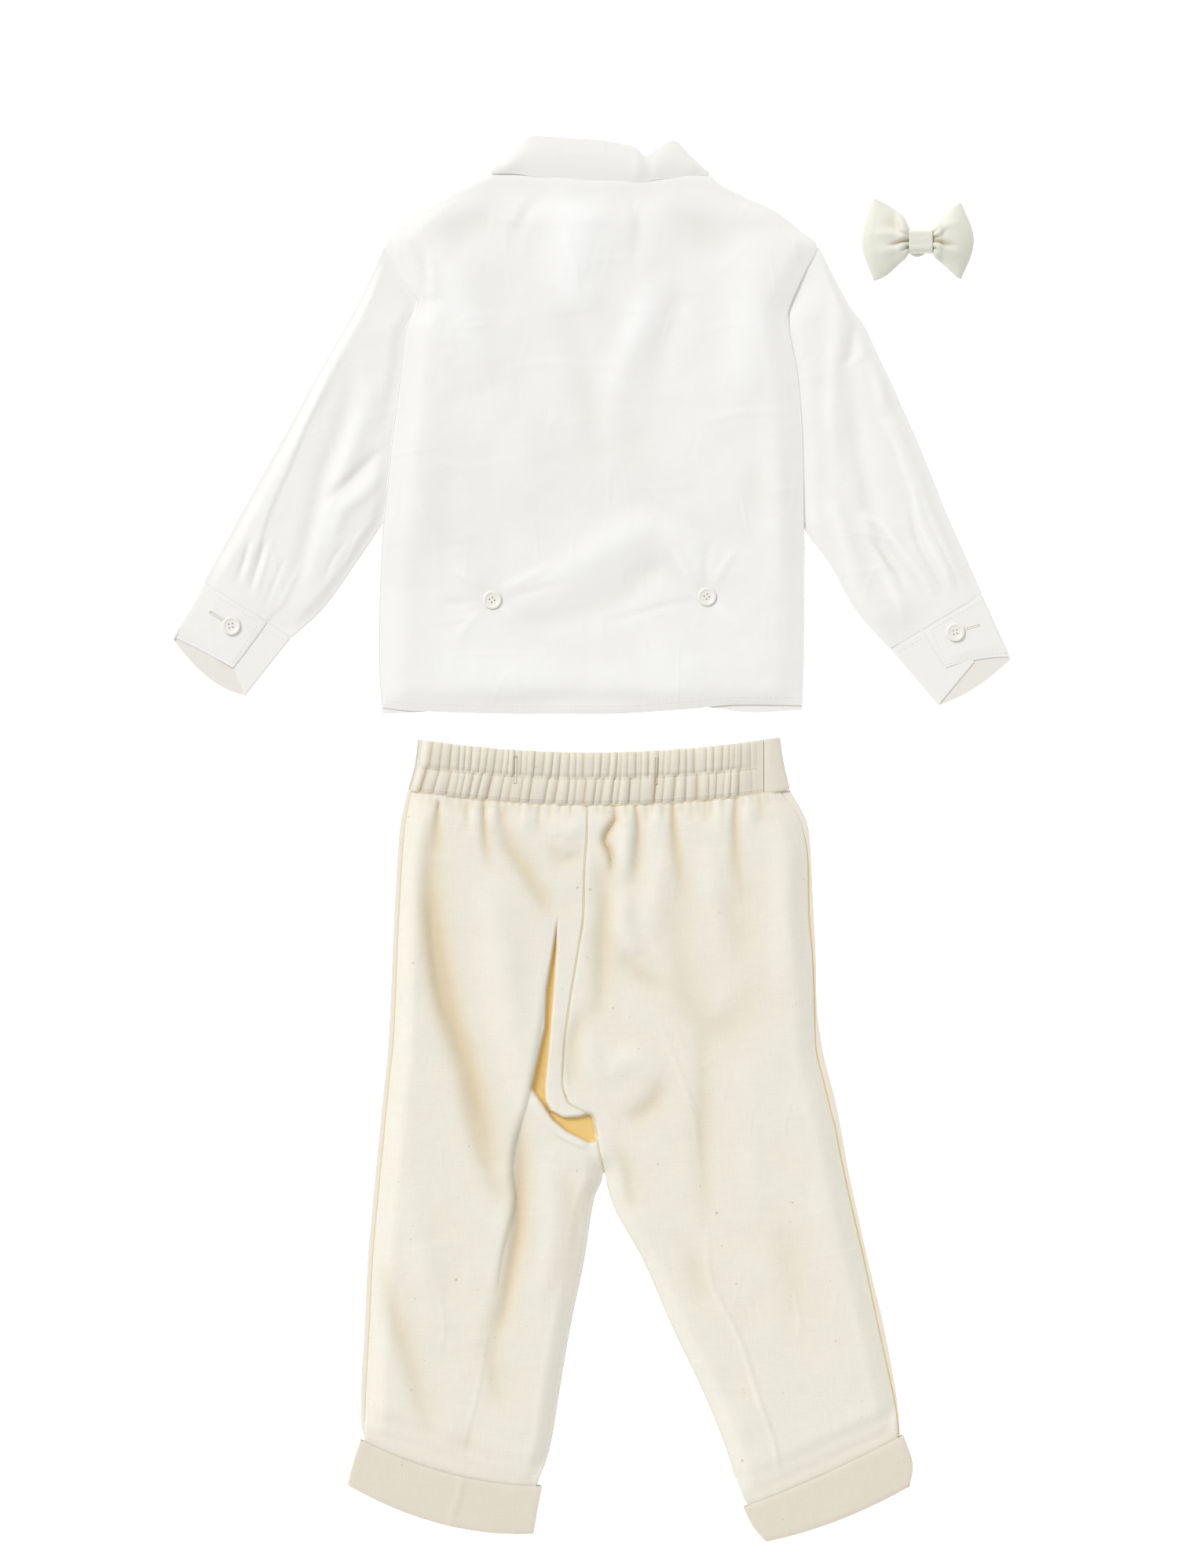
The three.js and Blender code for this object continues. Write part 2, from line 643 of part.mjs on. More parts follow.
// Left back from waist to hem: the side seam on the left, the centre seam and then the inseam on the right,
// with the fold's two edges between them
const BACK_LEFT = table("leftX leftY rightX rightY fold flap open sag", [
  [-114.5, 29, -3, 20, -23.5, -18.5, 0, 0],
  [-118.5, 5.5, -3.5, -2, -22.5, -17, 0, 0],
  [-120.5, -19.5, -5, -23, -22, -17, 0, 0],
  [-122, -47, -5.5, -47, -24, -18.5, 0, 0],
  [-123.5, -78, -10, -78, -27.5, -22.5, 0, 0],
  [-124.5, -105.5, -14.5, -105.5, -30.5, -25, 0, 0],
  [-126, -133.5, -18, -133.5, -34.5, -27, 0, 0],
  [-128.5, -155.5, -19, -155.5, -38.5, -26, 0, 0],
  [-129.5, -167, -15.5, -168, -41, -26.5, 0, 0],
  [-130.5, -176, -1.5, -176.5, -43.5, -27.5, 0, 0],
  [-131, -183, 1.8, -183, -45.5, -24, 0, 0],
  [-132.5, -198, 4.5, -199, -49.5, -15, 0, 0],
  [-134, -213.5, 7.3, -213.5, -51, -12, 1, 0],
  [-135.5, -229.5, 1.5, -229.5, -49, -16, 1, 0],
  [-139.5, -269.5, -5, -269.5, -58, -28, 1, 0],
  [-141, -312, -14, -313, -64.5, -36, 1, 0],
  [-143, -347, -21, -354.5, -71.5, -43, 1, 1],
  [-144, -372, -26, -385, -77, -49, 1, 4],
  [-144.5, -382, -31, -402, -80, -52, 1, 6],
  [-146.5, -389, -34.8, -412, -82, -54, 1, 7],
  [-150.2, -403, -39.5, -434.5, -85.5, -58, 1, 8],
]);
const BACK_RIGHT = table("leftX leftY rightX rightY open sag", [
  [-2, 19.5, 120, 27, 0, 0],
  [-2.5, -2, 133.5, 5, 0, 0],
  [-4, -23, 137.5, -17, 0, 0],
  [-4.5, -47, 138, -47, 0, 0],
  [-9, -78, 140.5, -78, 0, 0],
  [-13.5, -105.5, 141.5, -105.5, 0, 0],
  [-17, -133.5, 142.5, -133.5, 0, 0],
  [-18, -155.5, 147.5, -155.5, 0, 0],
  [-14, -168, 150.5, -168, 0, 0],
  [-0.5, -176, 152.5, -176, 0, 0],
  [2.5, -183, 154.5, -183, 0, 0],
  [5.5, -199, 157.5, -199, 0, 0],
  [8.5, -213.5, 160.5, -213.5, 1, 0],
  [12.5, -229.5, 164, -229.5, 1, 0],
  [33.5, -269.5, 173, -268.5, 1, 0],
  [52.5, -313, 182, -310, 1, 0],
  [70, -349.5, 189, -342, 1, 0],
  [84.5, -384.5, 194, -367, 1, 0],
  [96.5, -419.5, 195, -380, 1, 1],
  [111.5, -440, 199, -406, 1, 2],
]);
const FRONT_LEFT = table("leftX leftY rightX rightY sag", [
  [-117, 29.5, -0.3, 20, 0],
  [-122, 5.5, -0.3, -2, 0],
  [-125.5, -47, -0.3, -47, 0],
  [-129.5, -133.5, -0.3, -133.5, 0],
  [-133, -167, -0.3, -168, 0],
  [-134.5, -183, 1.8, -183, 0],
  [-137.5, -213.5, 7.3, -213.5, 0],
  [-139, -229.5, 1.5, -229.5, 0],
  [-142.5, -269.5, -5, -269.5, 0],
  [-144.5, -312, -14, -313, 0],
  [-146.5, -347, -21, -354.5, 1],
  [-147, -372, -26, -385, 4],
  [-144.5, -382, -31, -402, 6],
  [-146.5, -389, -34.8, -412, 7],
  [-150.2, -403, -39.5, -434.5, 8],
]);
const FRONT_RIGHT = table("leftX leftY rightX rightY sag", [
  [0.3, 19.5, 126.5, 29.5, 0],
  [0.3, -2, 138.5, 3, 0],
  [0.3, -47, 141.5, -47, 0],
  [0.3, -78, 143, -78, 0],
  [0.3, -105.5, 143.5, -105.5, 0],
  [0.3, -133.5, 147, -133.5, 0],
  [0.5, -168, 155.5, -168, 0],
  [2.5, -183, 158.5, -183, 0],
  [8.5, -213.5, 164, -213.5, 0],
  [12.5, -229.5, 167.5, -229.5, 0],
  [33.5, -269.5, 176, -268.5, 0],
  [52.5, -313, 186, -310, 0],
  [70, -349.5, 192, -342, 0],
  [84.5, -384.5, 195.5, -367, 0],
  [96.5, -419.5, 195.5, -380, 1],
  [111.5, -440, 199, -406, 2],
]);

// Turn-ups from their top edge to their hem fold
const TURN_UP_LEFT = table("leftX leftY rightX rightY sag", [
  [-147, -382.5, -31.5, -412, 7],
  [-151.5, -397, -34.5, -427, 8],
  [-155, -411, -37, -442, 9],
]);
const TURN_UP_RIGHT = table("leftX leftY rightX rightY sag", [
  [96.5, -425.5, 198, -379.5, 2],
  [103, -438, 204, -399.5, 3],
  [111, -447, 202, -412, 4],
]);

// The deep gap beside the centre seam, where the cloth folds in, as seen from above
const GAP_OUTLINE = table("x y", [
  [-21, -47], [-22, -70], [-24.5, -96], [-27, -133], [-26, -161], [-27.5, -177.5], [-4, -177.5],
  [2, -180], [3.5, -196], [-1, -199], [-18.5, -191], [-30.5, -180.5], [-40, -165], [-35.5, -139],
  [-31, -120], [-30, -96], [-27.5, -78], [-24.5, -56],
]);

// Folds of the trousers' back: middle lines, half width and height
const TROUSER_FOLDS = [
  { path: [-96, 12, -101, -33, -94, -86, -76, -139, -66, -200], width: 7, height: -3.2 },
  { path: [-84, -10, -78, -80, -62, -130], width: 11, height: 2.2 },
  { path: [-42, -20, -44, -110, -50, -180], width: 12, height: 2.4 },
  { path: [-129, -280, -112, -330], width: 10, height: -1.4 },
  { path: [15, 20, 11.5, 2, 17, -19, 11.5, -40], width: 3.5, height: -3.4 },
  { path: [21, 14, 20, -6, 25, -22, 20, -44], width: 5, height: 2.2 },
  { path: [6, -36, 8, -104], width: 6, height: -2.4 },
  { path: [22, -50, 18, -110, 26, -150], width: 9, height: 2 },
  { path: [64, -80, 78, -120, 106, -118], width: 9, height: -2 },
  { path: [90, -20, 92, -92], width: 14, height: 1.8 },
  { path: [66, -146, 72, -244], width: 6, height: -1.8 },
  { path: [-45, -196, -46, -280], width: 6, height: -2.2 },
  { path: [-26, -214, -30, -300], width: 10, height: 1.6 },
  { path: [10, -180, 22, -214, 40, -250], width: 7, height: 1.6 },
];
const PRESSED_CREASES = [
  { path: [-58, -260, -64.5, -312, -77, -372, -84, -430], width: 2.2, height: 1.4 },
  { path: [74, -255, 90, -312, 105, -348, 119, -394, 124, -428], width: 2.2, height: 1.4 },
];
// Folds that fan down from the gathers: place on the waist seam, reach, lean and height
const GATHER_FOLDS = table("x reach lean height", [
  [-96, 34, -1, 1.6],
  [-75, 52, 3, 1.8],
  [-61, 36, 0, 1.4],
  [-45, 60, -2, 2],
  [-29, 40, 0, 1.8],
  [15, 26, -2, -1.6],
  [22, 44, 1, 1.8],
  [54, 50, 2, 1.8],
  [64, 36, 1, 1.5],
  [86, 52, 4, 1.6],
  [107, 38, 5, 1.3],
]);
const gatherFolds = GATHER_FOLDS.map((g) => ({
  path: [g.x, waistSeamY(g.x) + 4, g.x + g.lean, waistSeamY(g.x) - g.reach],
  width: 4,
  height: g.height,
}));

const foldEdge = curve(BACK_LEFT, "leftY", "fold");

// Share of the way into the gap: 0 on its outline, 1 a little inside it
function gapShare(x, y) {
  const points = GAP_OUTLINE;
  let inside = false;
  let nearest = Infinity;
  points.forEach((a, i) => {
    const b = points[(i + 1) % points.length];
    if (a.y > y !== b.y > y && x < ((b.x - a.x) * (y - a.y)) / (b.y - a.y) + a.x) inside = !inside;
    const length = (b.x - a.x) ** 2 + (b.y - a.y) ** 2;
    const t = clamp(((x - a.x) * (b.x - a.x) + (y - a.y) * (b.y - a.y)) / length, 0, 1);
    nearest = Math.min(nearest, Math.hypot(x - a.x - t * (b.x - a.x), y - a.y - t * (b.y - a.y)));
  });
  return inside ? ease(0, 1.6, nearest) : 0;
}

// How much the leg front is lifted by the turn-up's front leaf below it, and the back above both
const turnUpTop = (x) => x < 30
  ? mix(-382.5, -412, ease(-147, -31.5, x)) - 4
  : mix(-425.5, -379.5, clamp((x - 96.5) / 101.5, 0, 1)) - 1;
const hemLift = (x, y) => (TROUSER_WALL + GAP) * ease(turnUpTop(x) + 20, turnUpTop(x) + 9, y);

// Soft rise of the trousers' back above the fronts
function trouserRise(x, y) {
  const pillow = 3.6 + foldHeight(TROUSER_FOLDS, x, y) + foldHeight(PRESSED_CREASES, x, y);
  const gathers = foldHeight(gatherFolds, x, y);
  const step = x < 0 ? foldEdge(y) - x : -1;
  const over = step > -1 ? 2.6 * ease(-1, 1, step) * Math.exp(-Math.max(step, 0) / 22) : 0;
  const reach = ease(-60, -130, y) * ease(-320, -190, y);
  return Math.max(pillow + gathers + over * reach, 0.4) * (1 - gapShare(x, y));
}

function trouserBackUnder(lines) {
  return (x, y, down, across) => {
    const { width, open, outerLeft } = lines(down);
    const outer = outerLeft ? across * width : (1 - across) * width;
    const inner = outerLeft ? (1 - across) * width : across * width;
    const free = ease(0, 14, outer) * mix(1, ease(0, 12, inner), open);
    const waist = ease(0, 0.03, down);
    const pressed = 1 - 0.9 * ease(turnUpTop(x) + 26, turnUpTop(x) + 6, y);
    return TROUSER_BACK_BASE + hemLift(x, y) + free * pressed * trouserRise(x, y) * mix(0.75, 1, waist);
  };
}

// Width and open edge of a back panel at a share down
function backLines(rows, outerLeft) {
  const place = sectionLines(rows);
  const lines = measured(rows);
  const opened = lines.map((row) => ({ share: row.length / lines.at(-1).length, open: row.open }));
  const open = curve(opened, "share", "open");
  return (down) => {
    const [ax] = place(down, 0);
    const [bx] = place(down, 1);
    return { width: bx - ax, open: open(down), outerLeft };
  };
}

// Section lines whose first ones follow the waist seam
function belowWaist(rows) {
  const place = sectionLines(rows);
  return (down, across) => {
    const [x, y] = place(down, across);
    const [, top] = place(0, across);
    return [x, y + (waistSeamY(x) - GAP - top) * ease(0.14, 0, down)];
  };
}

// Columns of the left back: even runs either side of the fold, close at its two edges
function leftBackColumns(down) {
  const place = sectionLines(BACK_LEFT);
  const [ax, y] = place(down, 0);
  const [bx] = place(down, 1);
  const foldX = curve(BACK_LEFT, "leftY", "fold")(y);
  const flapX = curve(BACK_LEFT, "leftY", "flap")(y);
  const share = (x) => (x - ax) / (bx - ax);
  const marks = [0, share(foldX - 0.4), share(foldX + 1.8), share(flapX - 1.8), share(flapX + 0.4), 1];
  const parts = [13, 1, 2, 1, 4];
  return parts.flatMap((count, i) => {
    const last = i === parts.length - 1 ? count + 1 : count;
    return shares(count).slice(0, last).map((s) => mix(marks[i], marks[i + 1], s));
  });
}

function makeTrouserBacks() {
  const rows = rowShares(BACK_LEFT, 20);
  const leftPlace = belowWaist(BACK_LEFT);
  const leftHeight = trouserBackUnder(backLines(BACK_LEFT, true));
  const leftUnder = rows.map((down) => leftBackColumns(down).map((across) => {
    const [x, y] = leftPlace(down, across);
    return [x, y, leftHeight(x, y, down, across)];
  }));
  add("trouser_back_left", thicken(leftUnder, TROUSER_WALL), TROUSER_CREAM);
  const rightHeight = trouserBackUnder(backLines(BACK_RIGHT, false));
  const rightRows = rowShares(BACK_RIGHT, 20);
  const rightPlace = belowWaist(BACK_RIGHT);
  const right = panel(rightRows, shares(14), rightPlace, rightHeight, TROUSER_WALL);
  add("trouser_back_right", right, TROUSER_CREAM);
}

function makeTrouserFronts() {
  for (const [name, rows] of [["trouser_front_left", FRONT_LEFT], ["trouser_front_right", FRONT_RIGHT]]) {
    add(name, panel(rowShares(rows, 20), shares(4), belowWaist(rows), hemLift, TROUSER_WALL), TROUSER_CREAM);
  }
}

function makeTurnUps() {
  const hollow = 2 * TROUSER_WALL + 5 * GAP;
  const swell = (x, y, down, across) => 0.9 * Math.sin(Math.PI * across) + foldHeight(PRESSED_CREASES, x, y);
  for (const [name, rows] of [["turn_up_left", TURN_UP_LEFT], ["turn_up_right", TURN_UP_RIGHT]]) {
    add(name, pressedTube(shares(3), sectionLines(rows), TROUSER_WALL, hollow, swell), TROUSER_CREAM);
  }
}

// Height of the gathers across the band: uneven waves, more in the upper casing than in the lower
function gatherWave(across, count) {
  const drift = 0.35 * Math.sin(17 * across) + 0.25 * Math.sin(41 * across + 1);
  const uneven = 0.75 + 0.25 * Math.sin(29 * across + count);
  return GATHER_DEPTH * uneven * (0.5 + 0.5 * Math.cos(2 * Math.PI * (count * across + drift)));
}

function makeWaistband() {
  const place = sectionLines(WAIST);
  const columns = shares(2 * UPPER_GATHERS + 2);
  const rows = table("down count depth rise", [
    [0, UPPER_GATHERS, 0.8, 1.6],
    [0.22, UPPER_GATHERS, 1, 2.6],
    [0.5, UPPER_GATHERS, 0.45, 0.8],
    [0.76, LOWER_GATHERS, 1, 2.4],
    [1, LOWER_GATHERS, 0.5, 1.4],
  ]);
  const under = rows.map((row) => {
    const left = place(row.down, 0)[0];
    const right = place(row.down, 1)[0];
    const end = (FRONT_BAND_ON_BACK - GAP - left) / (right - left);
    return columns.map((share) => {
      const across = mix(0.006, end, share);
      const free = ease(0, 0.03, share) * ease(1, 0.97, share);
      const wave = gatherWave(share, row.count) * row.depth;
      return [...place(row.down, across), TROUSER_BACK_BASE + free * (row.rise + wave)];
    });
  });
  const over = under.map((row) => row.map(([x, y, z]) => [x, y, z + TROUSER_WALL]));
  add("waistband_back", solid(over, under), TROUSER_CREAM);
  const bottom = shares(6).map((s) => [mix(0, 0.992, s), TROUSER_WALL]);
  const topFrom = (down) => {
    const left = place(down, 0)[0];
    return (FRONT_BAND_ON_BACK - left) / (place(down, 1)[0] - left);
  };
  const top = (down) => shares(3).map((s) => {
    const puff = 0.6 * Math.sin(Math.PI * s);
    return [mix(0.99, topFrom(down), s), TROUSER_WALL + GAP + puff];
  });
  const band = shares(4).map((down) => {
    const path = [...bottom, [0.996, TROUSER_WALL + GAP / 2], ...top(down)];
    return path.map(([across, z]) => [...place(down, across), z]).reverse();
  });
  add("waistband_front", thicken(band, TROUSER_WALL), TROUSER_CREAM);
}

// BOW TIE

// Each loop from its outer fold to the knot: half widths above and below the middle line
const BOW = { x: 209, y: 378.5, knotWidth: 15, knotHeight: 15.2, knotTop: 8.2 };
const BOW_LEFT = table("x upper lower dome", [
  [-28.5, 28, 24.5, 2],
  [-26, 26, 22.8, 4.2],
  [-20, 21.8, 19.5, 6],
  [-15, 17.2, 15.2, 6.4],
  [-11, 11.5, 11, 5],
  [-9, 7.6, 7.6, 2.8],
  [-7.9, 6, 6, 1.5],
  [-5.5, 5.4, 5.4, 1.4],
]);
const BOW_RIGHT = table("x upper lower dome", [
  [5.5, 5.4, 5.4, 1.4],
  [7.9, 6, 6, 1.5],
  [9, 7.6, 7.6, 2.8],
  [11, 10.8, 10.2, 5],
  [15, 16, 14.5, 6.4],
  [20, 20.8, 19, 6],
  [23.5, 23.6, 22.2, 4.2],
  [25.5, 25, 23.5, 2],
]);
const BOW_BULGE = 7.5;
const BOW_FOLDS = [
  { path: [-9, 1, -20, 0], width: 2.6, height: -2.4 },
  { path: [-8, -3, -14, -7], width: 2, height: -1.4 },
  { path: [-8, 4, -15, 9], width: 2, height: -1.4 },
  { path: [9, 1, 19, -1], width: 2.6, height: -2.4 },
  { path: [8, -3, 14, -8], width: 2, height: -1.4 },
  { path: [8, 4, 15, 9], width: 2, height: -1.4 },
];

// Where a loop has its points, from the knot to the outer fold
const BOW_STATIONS = [0, 0.1, 0.18, 0.32, 0.5, 0.75, 1];

// A loop is a folded leaf: its back lies on the surface and comes round the outer fold to the front
function makeBowLoop(name, rows, side) {
  const reach = curve(rows, "x", "upper");
  const lower = curve(rows, "x", "lower");
  const dome = curve(rows, "x", "dome");
  const inner = Math.min(...rows.map((row) => Math.abs(row.x)));
  const outer = Math.max(...rows.map((row) => Math.abs(row.x)));
  const path = [
    ...BOW_STATIONS.map((s) => [s, 0]),
    [1.02, 0.5],
    ...BOW_STATIONS.map((s) => [s, 1]).reverse(),
  ];
  const grid = shares(9).map((down) => path.map(([out, layer]) => {
    const x = side * mix(inner, outer, Math.min(out, 1));
    const top = reach(x);
    const y = mix(top, -lower(x), down);
    const pinch = CLIP_THICKNESS + BOW_WALL + 2.5 * GAP;
    const rise = pinch * ease(outer * 0.6, inner + 4, Math.abs(x));
    const edge = Math.sin(Math.PI * clamp(down, 0.04, 0.96)) ** 0.6;
    const wide = dome(x) + foldHeight(BOW_FOLDS, x, y);
    const height = layer === 1 ? GAP + Math.max(wide, 0.4) * edge : layer * (GAP + 1.2 * edge);
    const round = out > 1 ? side * 0.6 : 0;
    const swell = side * bowOuter(down) * Math.max(0, out - 0.5) * 2;
    return [BOW.x + x + round + swell, BOW.y + y, BOW_WALL + rise + height];
  }));
  const points = side > 0 ? grid.map((row) => row.reverse()) : grid;
  add(name, thicken(points, BOW_WALL), BOW_IVORY);
}

// The outer edge swells between its two tips
const bowOuter = (down) => BOW_BULGE * Math.sin(Math.PI * down) ** 1.2;

function makeBow() {
  const half = { x: BOW.knotWidth / 2, y: BOW.knotHeight / 2 };
  const low = CLIP_THICKNESS + GAP;
  const bulge = [
    [0, low],
    [half.y - 1.5, low],
    [half.y - 0.2, 3.2],
    [half.y, 5],
    [half.y - 1, 7.4],
    [half.y - 3, BOW.knotTop],
  ];
  const mirrored = bulge.slice(1).reverse().map(([y, z]) => [-y, z]);
  const outline = [...bulge, [0, BOW.knotTop + 0.5], ...mirrored];
  const hollow = outline.map(([y, z]) => [y * 0.86, clamp(z, low + BOW_WALL, BOW.knotTop - BOW_WALL)]);
  const station = (ring, x) => ring.map(([y, z]) => [BOW.x + x, BOW.y + y, z]);
  const xs = shares(4).map((s) => mix(half.x, -half.x, s));
  const outside = xs.map((x) => station(outline, x));
  const inside = xs.map((x) => station(hollow, x));
  add("bow_knot", solid(outside, inside, true), BOW_IVORY);
  const clip = new THREE.CylinderGeometry(CLIP_DIAMETER / 2, CLIP_DIAMETER / 2, CLIP_THICKNESS, 28);
  clip.rotateX(Math.PI / 2);
  const disc = add("bow_clip", clip, BUTTON_PEARL);
  disc.position.set(BOW.x - 1.5, BOW.y - 2.2, CLIP_THICKNESS / 2);
  makeBowLoop("bow_loop_left", BOW_LEFT, -1);
  makeBowLoop("bow_loop_right", BOW_RIGHT, 1);
}

makeShirtBody();
makeSleeves();
CUFFS.forEach(makeCuff);
makeCollar();
makeBackButtons();
makeTrouserBacks();
makeTrouserFronts();
makeTurnUps();
makeWaistband();
makeBow();

export default group;
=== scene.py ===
"""A child's shirt, trousers and bow tie laid flat and seen from the back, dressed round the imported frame."""

import bpy
import numpy as np
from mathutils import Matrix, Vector, noise as random_field
from mathutils.bvhtree import BVHTree


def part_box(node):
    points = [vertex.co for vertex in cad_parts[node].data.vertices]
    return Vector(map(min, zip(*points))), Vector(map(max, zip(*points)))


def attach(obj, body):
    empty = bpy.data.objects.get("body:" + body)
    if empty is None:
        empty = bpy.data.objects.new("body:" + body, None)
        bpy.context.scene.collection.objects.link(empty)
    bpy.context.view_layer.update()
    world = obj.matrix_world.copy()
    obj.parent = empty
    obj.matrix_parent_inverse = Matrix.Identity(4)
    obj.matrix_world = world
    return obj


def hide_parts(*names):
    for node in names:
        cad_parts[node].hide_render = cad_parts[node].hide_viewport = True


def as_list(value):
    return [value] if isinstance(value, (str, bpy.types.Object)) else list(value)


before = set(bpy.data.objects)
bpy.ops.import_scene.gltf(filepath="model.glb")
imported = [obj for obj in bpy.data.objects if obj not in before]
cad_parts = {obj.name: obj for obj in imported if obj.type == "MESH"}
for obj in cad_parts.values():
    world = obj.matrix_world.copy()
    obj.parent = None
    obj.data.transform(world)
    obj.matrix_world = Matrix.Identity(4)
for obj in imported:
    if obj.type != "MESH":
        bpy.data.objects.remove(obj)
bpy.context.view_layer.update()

# Driving sizes in millimetres. Places are in the photo's plane, x to the right and y up from PHOTO_MIDDLE,
# a pixel of it; SET_MIDDLE is the place of the frame's origin
MM = 0.001
SET_MIDDLE = np.array([0.29, -0.225, 0.0])
PHOTO_MIDDLE = np.array([753.0, 1066.0])
MM_PER_PIXEL = 0.5
GAP = 0.3
SHIRT_WALL = 1.0
TROUSER_WALL = 1.2
BOW_WALL = 1.0
SHIRT_SHELL = 0.7
COLLAR_SHELL = 0.7
CUFF_SHELL = 0.6
TROUSER_SHELL = 0.9
BOW_SHELL = 0.6
RIM_SHARE = 0.5
EDGE_GAP = 0.05
EDGE_ROLL_WALL = 0.45
LEG_ROLL_WALL = 0.5
PLACKET_HALF_LAP = 7
BACK_PUFF = 2.4
LEAST_BACK_PUFF = 0.5
BUTTON_PULL = {"width": 12, "depth": 1.2}
HEM_DEPTH = 4.8
HEM_STEP = 0.1
SLEEVE_PUFF = 1.9
LEAST_SLEEVE_PUFF = 0.2
CUFF_SWELL = 1.1
CUFF_DROOP = 0.65
CUFF_DIP = 0.3
OVERLAP_DROP = 0.1
COLLAR_PUFF = 1.4
COLLAR_FOLD_RADIUS = 1.2
TROUSER_PUFF = 3.6
LEAST_TROUSER_PUFF = 0.4
FOLD_STANDS = 2.2
WAIST_ENDS_AT = 110
CROTCH = -214
LEG_SEAMS_END = -381
UPPER_GATHERS = 46
LOWER_GATHERS = 35
GATHER_DEPTH = 2.6
GATHER_LEAN = 0.005
TURN_UP_SWELL = 0.9
TURN_UP_EDGE_DROP = 0.35
SEAM_WALL = 0.3
BUTTON_SUNK = 0.35
BUTTON_RIM = 4.5
HOLE_SPREAD = 1.15
HOLE_RADIUS = 0.5
CLIP_DIAMETER = 14
CLIP_THICKNESS = 1.2
BOW_BULGE = 7.5

# Heights that follow from the walls: a second layer lies on the first
SHIRT_BACK_BASE = SHIRT_WALL + GAP
SLEEVE_PRESSED = 2 * SHIRT_SHELL + 2 * GAP
SLEEVE_FLAT = 2 * SHIRT_SHELL + GAP
COLLAR_LEAF_LIFT = COLLAR_SHELL + GAP
PLACKET_LIFT = SHIRT_WALL + 2 * GAP
CUFF_BELOW = CUFF_SHELL + EDGE_GAP
CUFF_UNDER = CUFF_BELOW + EDGE_GAP
CUFF_ABOVE = CUFF_UNDER + CUFF_SHELL + EDGE_GAP
TROUSER_BACK_BASE = TROUSER_WALL + GAP


# Tables, curves, paths and folds


def table(heading, rows):
    """Rows of numbers as dictionaries named by the heading."""
    return [dict(zip(heading.split(), row)) for row in rows]


def mix(a, b, share):
    """A value between two, at a share of the way."""
    return a + (b - a) * share


def ease(start, end, value):
    """A smooth step from 0 at start to 1 at end."""
    t = np.clip((value - start) / (end - start), 0, 1)
    return t * t * (3 - 2 * t)


def photo(*numbers):
    """Points in millimetres from pixels of the photograph, given as x y x y."""
    pixels = np.array(numbers, float).reshape(-1, 2)
    return (pixels - PHOTO_MIDDLE) * [MM_PER_PIXEL, -MM_PER_PIXEL]


def curve(rows, key, value):
    """A smooth curve through rows that never overshoots them, read at any value of the key column."""
    points = sorted((row[key], row[value]) for row in rows)
    xs, ys = np.array(points, float).T
    slopes = np.diff(ys) / np.diff(xs)
    before = np.concatenate([slopes[:1], slopes])
    after = np.concatenate([slopes, slopes[-1:]])
    same = before * after > 0
    tangents = np.where(same, 2 * before * after / np.where(same, before + after, 1), 0)

    def read(at):
        at = np.clip(at, xs[0], xs[-1])
        i = np.clip(np.searchsorted(xs, at) - 1, 0, len(xs) - 2)
        step = xs[i + 1] - xs[i]
        t = (at - xs[i]) / step
        start = (1 + 2 * t) * (1 - t) ** 2 * ys[i] + t * (1 - t) ** 2 * step * tangents[i]
        end = t * t * (3 - 2 * t) * ys[i + 1] + t * t * (t - 1) * step * tangents[i + 1]
        return start + end

    return read


def measured(rows):
    """Each section line with its distance down the panel's middle."""
    length = 0
    last = rows[0]
    found = []
    for row in rows:
        dx = row["leftX"] + row["rightX"] - last["leftX"] - last["rightX"]
        dy = row["leftY"] + row["rightY"] - last["leftY"] - last["rightY"]
        length += np.hypot(dx, dy) / 2
        last = row
        found.append({"sag": 0, **row, "length": length})
    return found


def row_shares(rows, spacing, fine=(0, 0)):
    """Shares down a panel: each section line, and enough between them to stay within a spacing."""
    lines = measured(rows)
    lengths = [row["length"] for row in lines]
    found = []
    for line, start, end in zip(lines, lengths, lengths[1:]):
        closer = 0.45 if fine[1] < line["leftY"] < fine[0] else 1
        parts = max(1, round((end - start) / spacing / closer))
        found.append(np.linspace(start, end, parts, endpoint=False))
    return np.append(np.concatenate(found), lengths[-1]) / lengths[-1]


def section_lines(rows):
    """A function of the share down and the share across, from lines that each sag at their middle."""
    lines = measured(rows)
    length = lines[-1]["length"]
    read = {name: curve(lines, "length", name) for name in ("leftX", "leftY", "rightX", "rightY", "sag")}

    def place(down, across):
        at = down * length
        x = mix(read["leftX"](at), read["rightX"](at), across)
        y = mix(read["leftY"](at), read["rightY"](at), across)
        return x, y - read["sag"](at) * 4 * across * (1 - across)

    return place


def rounded(path, parts=6):
    """A path through its points with its corners rounded."""
    path = np.asarray(path, float)
    if len(path) < 3:
        return path
    ends = np.vstack([2 * path[0] - path[1], path, 2 * path[-1] - path[-2]])
    found = []
    for a, b, c, d in zip(ends, ends[1:], ends[2:], ends[3:]):
        for t in np.linspace(0, 1, parts, endpoint=False):
            bend = (2 * a - 5 * b + 4 * c - d) * t**2 + (3 * b - a - 3 * c + d) * t**3
            found.append((2 * b + (c - a) * t + bend) / 2)
    return np.array([*found, path[-1]])


